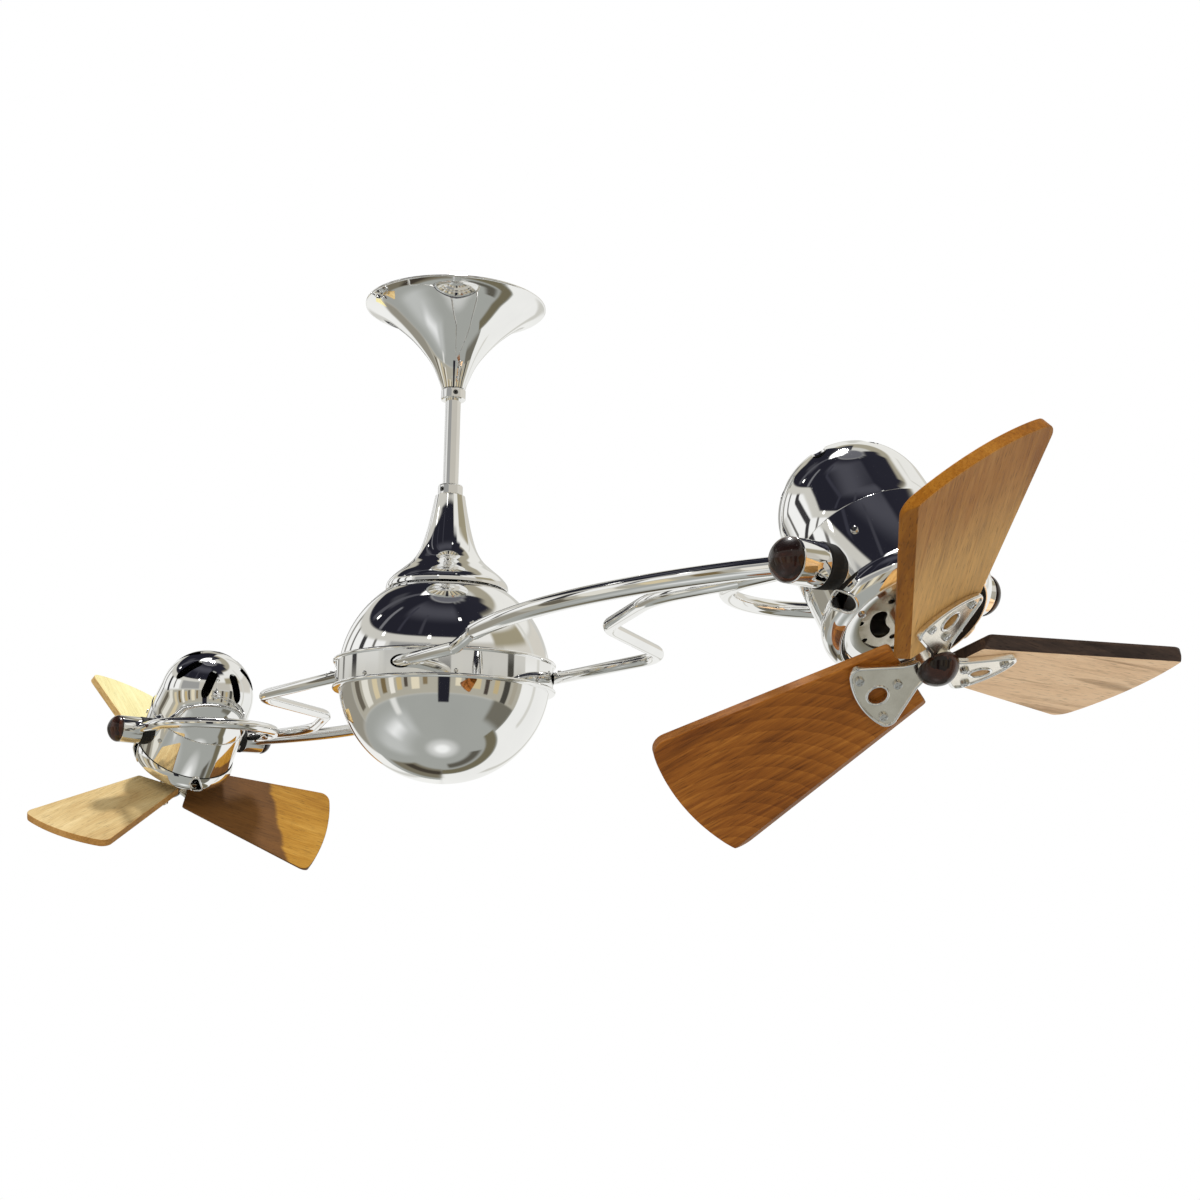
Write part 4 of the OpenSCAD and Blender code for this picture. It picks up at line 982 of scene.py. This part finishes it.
def build_arms():
    thin = path_points((0.5, -TUBE_Y), ARC_THIN)
    x, y, heading = thin[-1]
    bm = bmesh.new()
    add_tube(bm, thin, THIN_R, 0.3)
    add_tube(bm, path_points((x, y), ARC_THICK, heading, 0.4), ARC_R, 0.9)
    on_both(finish_mesh("arm_arc", bm, CHROME, 50), ON_ARM, "chrome", "arc_tube_{}")

    bm = bmesh.new()
    add_tube(bm, path_points((0.5, TUBE_Y), S_BENDS), THIN_R, 0.3)
    on_both(finish_mesh("arm_bent", bm, CHROME, 50), ON_ARM, "chrome", "s_tube_{}")

    bm = bmesh.new()
    bow = path_points((ARM_REACH, -YOKE_R), [[YOKE_LEG], [YOKE_R, -180], [YOKE_LEG]], 180)
    add_tube(bm, bow, YOKE_TUBE_R, 0.2)
    for lean in (-90, 90):
        add_lathe(bm, BARREL, 96, True, shift(ARM_REACH, 0, 0) @ turn(lean, "X"))
    on_both(finish_mesh("arm_yoke", bm, CHROME, 35), ON_ARM, "chrome", "yoke_{}")

    joint = shift(x, y, 0) @ turn(heading, "Z") @ shift(5, 0, 0)
    places = [joint @ turn(a, "X") @ shift(0, 0, ARC_R) for a in (30, 90, 150)]
    places += [shift(62, TUBE_Y, 0) @ turn(a, "X") @ shift(0, 0, THIN_R) for a in (60, 0, -60)]
    on_both(screws("arm_screw_heads", (ARM_SCREW, places)), ON_ARM, "zinc_steel")


# ---- heads

SHELL_R = 49.5
SHELL_T = 1.5
DOME_R = 46.5
DOME_Z = 50
SEAM_R = 48.8
SEAM_Z = 25
PLATE_Z = -28
DOME_SLOTS = 7
DOME_SLOT = (21.5, 9)
DOME_SLOT_R = 30.75
SPOKE = [(9, -3), (46, -3), (46, 3), (9, 3)]
CAP = [(50.3, -18), (54, -26), (52.4, -32.5), (46, -35.5)]
BOWL = [(44.8, -35.5), (43, -31), (40, -29.2), (37, -29)]
WINDOW = (18.5, 10)
WINDOW_PLACES = [turn(90 * k, "Z") @ shift(46, 0, -25.1) @ turn(112, "Y") @ turn(36, "Z") for k in range(4)]
LIP_R = 1.0
SCREW_TURNS = (60, 120, 240, 300)
PLATE_TURNS = (20, 140, 260)
PLATE_HOLES = ((20, -30, 2.2), (30, 8, 2), (30, 42, 2))  # distance, turn and radius
PIVOTS = {"near_a": 90, "far_a": -90, "near_b": -90, "far_b": 90}


def dome_profile():
    outer = [(SEAM_R - 0.5, SEAM_Z), (SEAM_R - 0.1, SEAM_Z + 0.2), (SEAM_R, SEAM_Z + 0.7),
             (SEAM_R - 0.9, SEAM_Z + 9), (SEAM_R - 1.8, SEAM_Z + 19)] + arc(0, DOME_Z, DOME_R, 3, 90, 56)
    return outer + arc(0, DOME_Z, DOME_R - SHELL_T, 90, 0, 40) + [(SEAM_R - SHELL_T, SEAM_Z)]


def dome_slots(bm):
    for i in range(DOME_SLOTS):
        place = turn(-5 - i * 360 / DOME_SLOTS, "Z") @ shift(DOME_SLOT_R, 0, 0)
        add_prism(bm, stadium(*DOME_SLOT, 20), DOME_Z + 8, DOME_Z + 70, place)


def window_lips(bm):
    """A rolled lip round each window, on the cap's outside."""
    rs, zs = zip(*reversed(bezier_line(CAP, 40)))
    for place in WINDOW_PLACES:
        points, normals = [], []
        for x, y in stadium(WINDOW[0] + 0.6, WINDOW[1] + 0.6, 18):
            low, high = -1.0, 20.0
            for _ in range(36):
                s = (low + high) / 2
                p = place @ mm(x, y, s) / MM
                if math.hypot(p.x, p.y) < np.interp(p.z, zs, rs):
                    low = s
                else:
                    high = s
            points.append(p)
            slope = (np.interp(p.z + 0.3, zs, rs) - np.interp(p.z - 0.3, zs, rs)) / 0.6
            normals.append(Vector((p.x, p.y, -slope * math.hypot(p.x, p.y))))
        add_bead(bm, points, normals, LIP_R)


def cap_profile():
    cap, bowl = bezier_line(CAP, 32), bezier_line(BOWL, 16)
    lip = arc(45.4, -35.45, 0.62, -10, -170, 8)
    return (cap[:-1] + lip + bowl[1:] + [(31, PLATE_Z - 1), (31, PLATE_Z), (38, PLATE_Z)]
            + offset_line(bowl, -1)[1:-1] + offset_line(cap, -SHELL_T)[1:])


def plate_holes(bm):
    """Three kidney-shaped openings, each with three round holes beside it."""
    kidney = (arc(0, 0, 24, 0, 50, 16) + arc(*polar(19, 50), 5, 60, 220, 12)
              + arc(0, 0, 14, 50, 0, 12) + arc(19, 0, 5, 190, 350, 12))
    for a in (80, 200, 320):
        add_prism(bm, without_crumbs(kidney), PLATE_Z - 1, PLATE_Z + 4, turn(a, "Z"))
        for r, extra, size in PLATE_HOLES:
            add_prism(bm, ring(size, 24), PLATE_Z - 1, PLATE_Z + 4, turn(a + extra, "Z") @ shift(r, 0, 0))


def shell(name, profile, fill, node):
    """A carved chrome shell of the head. Faces that look at its middle are unpolished and painted near
    black, a painted shade inside the head.
    """
    made = lathe(name, profile, CHROME, 224)
    carve(made, fill)
    exact_normals(made, profile)
    made.data.materials.append(INNER_SHADE)
    # inward faces take the near-black painted shade
    for face in made.data.polygons:
        if face.normal.dot(face.center.normalized()) < -0.25:
            face.material_index = 1
    on_both(made, ON_HEAD, "chrome", node)


def build_heads():
    shell("head_dome", dome_profile(), dome_slots, "rear_dome_{}")

    bm = bmesh.new()
    inside = SHELL_R - SHELL_T
    wall = rounded([(inside, -19), (SHELL_R, -19), (SHELL_R, SEAM_Z), (inside, SEAM_Z)], [0, 0.4, 0.6, 0])
    add_lathe(bm, wall, 224)
    add_lathe(bm, [(44, 22), (48.6, 22), (48.6, 24.8), (44, 24.8)], 96)
    add_lathe(bm, [(6.5, 21), (10, 21), (10, 27), (6.5, 27)], 48)
    for a in (45, 135, 225, 315):
        add_prism(bm, rounded(SPOKE, [0.3] * 4), 22, 24.8, turn(a, "Z"))
    on_both(finish_mesh("head_shell", bm, CHROME), ON_HEAD, "chrome", "mid_shell_{}")

    shell("head_cap", cap_profile(), lambda bm: [add_prism(bm, stadium(*WINDOW, 18), -1, 20, place)
                                                 for place in WINDOW_PLACES], "front_cap_{}")
    bm = bmesh.new()
    window_lips(bm)
    on_both(finish_mesh("window_lips", bm, CHROME, 60), ON_HEAD, "chrome")

    top = PLATE_Z + 2
    profile = ([(6.5, -32)] + arc(9.2, -31.2, 0.8, -90, 0, 5) + [(10, PLATE_Z)]
               + arc(36.5, PLATE_Z + 0.5, 0.5, -90, 0, 4) + [(37, top), (10, top), (10, -24), (6.5, -24)])
    made = lathe("head_plate", profile, SATIN)
    carve(made, plate_holes)
    on_both(made, ON_HEAD, "chrome", "front_plate_{}")

    made = screws(
        "head_screws", (SHELL_SCREW, [outward(a, SHELL_R, 7) for a in SCREW_TURNS]),
        (PLATE_SCREW, [turn(a, "Z") @ shift(33, 0, PLATE_Z - 1) @ turn(180, "X") for a in PLATE_TURNS]))
    on_both(made, ON_HEAD, "zinc_steel", "shell_screws_{}")

    bm = bmesh.new()
    washer = rounded([(4, 47.2), (13.4, 47.2), (14, 56.2), (4, 56.2)], [0, 0, 1.2, 0])
    for lean in (-90, 90):
        add_lathe(bm, washer, 96, True, turn(lean, "X"))
    on_both(finish_mesh("head_gaskets", bm, RUBBER, 35), ON_HEAD, "black_rubber", "pivot_washers_{}")

    knob = [(0, 77.8), (12.9, 77.8), (13.4, 78.4)]
    knob += [(r, 77.8 + z) for r, z in bezier_line([(13.4, 0.6), (13.4, 6), (6, 10.9), (0, 11.5)], 28)[1:]]
    for which, lean in PIVOTS.items():
        made = lathe("knob_turned_" + which, knob, KNOB, 96, HEAD[which[-1]] @ turn(lean, "X"), False)
        dress(made, "clamp_" + which, "dark_wood", "knob_" + which)


# ---- fans

BLADE_T = 7
SWEEP_R = 168.5
TIP_U, ROOT_U = 158, 17
BEVEL_SIDE = (-3.8 - 51 / 2, -6.2 - 104 / 2)
PLAIN_SIDE = (-3.8 + 51 / 2, -6.2 + 104 / 2)
BEVEL = (6.6, 5)
IRON_T = 3
IRON = arc(40, -19, 5.5, -118, -30, 10) + arc(-11, 0, 60, -16, 16, 12) + arc(40, 19, 5.5, 30, 118, 10)
NECK = [(16, 9.3), (11, 7.4), (8, 6.6), (4, 6.8), (4, -6.8), (8, -6.6), (11, -7.4), (16, -9.3)]
IRON_HOLE_X, IRON_HOLE_R = 37.5, 5.5
IRON_SCREWS = [(41.5, 15.5), (41.5, -15.5), (24.5, 0)]
HUB_Z = -68


def blade_outline():
    """Root, two straight long edges, and a tip that follows the sweep, with round corners."""
    tip_x, tip_r = 9.5, SWEEP_R - 9.5

    def meet(side):
        """Turn of the tip's arc at which it meets a long edge."""
        rise = (side[1] - side[0]) / (TIP_U - ROOT_U)
        low, high = 0.0, 40.0
        for _ in range(40):
            a = math.radians((low + high) / 2)
            edge = abs(side[0] + rise * (tip_x + tip_r * math.cos(a) - ROOT_U))
            if tip_r * math.sin(a) < edge:
                low = math.degrees(a)
            else:
                high = math.degrees(a)
        return low

    low, high = meet(BEVEL_SIDE), meet(PLAIN_SIDE)
    corners = arc(tip_x, 0, tip_r, -low, high, 1)
    tip = arc(tip_x, 0, tip_r, -low + 5, high - 5, 22)
    points = [(ROOT_U, BEVEL_SIDE[0]), corners[0], *tip, corners[1], (ROOT_U, PLAIN_SIDE[0])]
    return rounded(points, [3, 10] + [0] * len(tip) + [10, 3], 10)


def make_blade(name, place, face, edge):
    """A wooden blade with a wide bevel along one long edge and rounded edges elsewhere."""
    bm = bmesh.new()
    add_prism(bm, blade_outline(), 0, BLADE_T)
    made = finish_mesh(name, bm, face, 30, place)
    made.data.materials.append(edge)
    lean = math.degrees(math.atan2(BEVEL_SIDE[1] - BEVEL_SIDE[0], TIP_U - ROOT_U))
    along = (shift(ROOT_U, BEVEL_SIDE[0], 0) @ turn(lean, "Z") @ shift(-15, 0, 0)
             @ turn(90, "Z") @ turn(90, "X"))
    w, d = BEVEL
    carve(made, lambda bm: add_prism(bm, [(-1, -1), (w + w / d, -1), (-1, d + d / w)], 0, 200, along), 25)
    for polygon in made.data.polygons:
        polygon.material_index = 0 if abs(polygon.normal.z) > 0.9 else 1
    return soften(made, 1.1, 28)


def iron_plate(place):
    """One flat blade iron with its hole, as a mesh in the fan's frame."""
    bm = bmesh.new()
    add_prism(bm, IRON + NECK, -IRON_T, 0)
    plate = finish_mesh("iron", bm, SATIN, place=ORIGIN)
    carve(plate, lambda bm: add_prism(bm, ring(IRON_HOLE_R, 36, IRON_HOLE_X), -5, 5))
    mesh = plate.data
    bpy.data.objects.remove(plate)
    mesh.transform(place)
    return mesh


def build_spider():
    bm = bmesh.new()
    hub = [(4, HUB_Z), (10, HUB_Z), (10.5, HUB_Z + 0.5), (10.5, -42), (9.8, -41), (4, -41)]
    add_lathe(bm, hub, 96)
    for third in THIRDS:
        plate = iron_plate(third @ FLAT)
        bm.from_mesh(plate)
        bpy.data.meshes.remove(plate)
    made = soften(finish_mesh("fan_spider", bm, SATIN), 0.45, 50)
    on_both(made, ON_FAN, "chrome", "blade_spider_{}")

    bm = bmesh.new()
    rim = [(x * 0.975 + 0.9, y * 0.945) for x, y in NECK[5:] + IRON + NECK[:3]]
    hole = ring(IRON_HOLE_R + 0.9, 36, IRON_HOLE_X)
    for third in THIRDS:
        place = third @ FLAT
        up = (place.to_3x3() @ Vector((0, 0, -1))).normalized()
        for line, radius, loop in ((rim, 1.05, False), (hole, 0.9, True)):
            points = [place @ mm(x, y, -2.9) / MM for x, y in line]
            add_bead(bm, points, [up] * len(points), radius, loop)
    on_both(finish_mesh("iron_rims", bm, CHROME, 60), ON_FAN, "chrome")


def build_fans():
    build_spider()
    for node, looks in WOODS.items():
        place = BLADE_PLACE[node]
        finishes = [wood(f"{node}_{part}", place, **looks[part]) for part in ("face", "edge")]
        made = make_blade("wooden_" + node, place, *finishes)
        dress(made, "fan_" + node[-1], looks["slot"], node)
    places = [third @ FLAT @ shift(x, y, -IRON_T) @ turn(180, "X")
              for third in THIRDS for x, y in IRON_SCREWS]
    on_both(screws("iron_screws", (IRON_SCREW, places)), ON_FAN, "zinc_steel", "blade_screws_{}")
    finial = [(0, 0), (12.2, 0), (12.5, 0.4), (12.5, 1.5)]
    finial += bezier_line([(12.5, 1.5), (12.1, 6), (6, 11.6), (0, 12)], 28)[1:]
    made = lathe("finial_turned", finial, KNOB, 96, closed=False, matrix=shift(0, 0, HUB_Z) @ turn(180, "X"))
    on_both(made, ON_FAN, "dark_wood", "finial_{}")


build_hanger()
build_ball()
build_arms()
build_heads()
build_fans()

bpy.context.scene.view_settings.view_transform = "Standard"
bpy.context.view_layer.update()
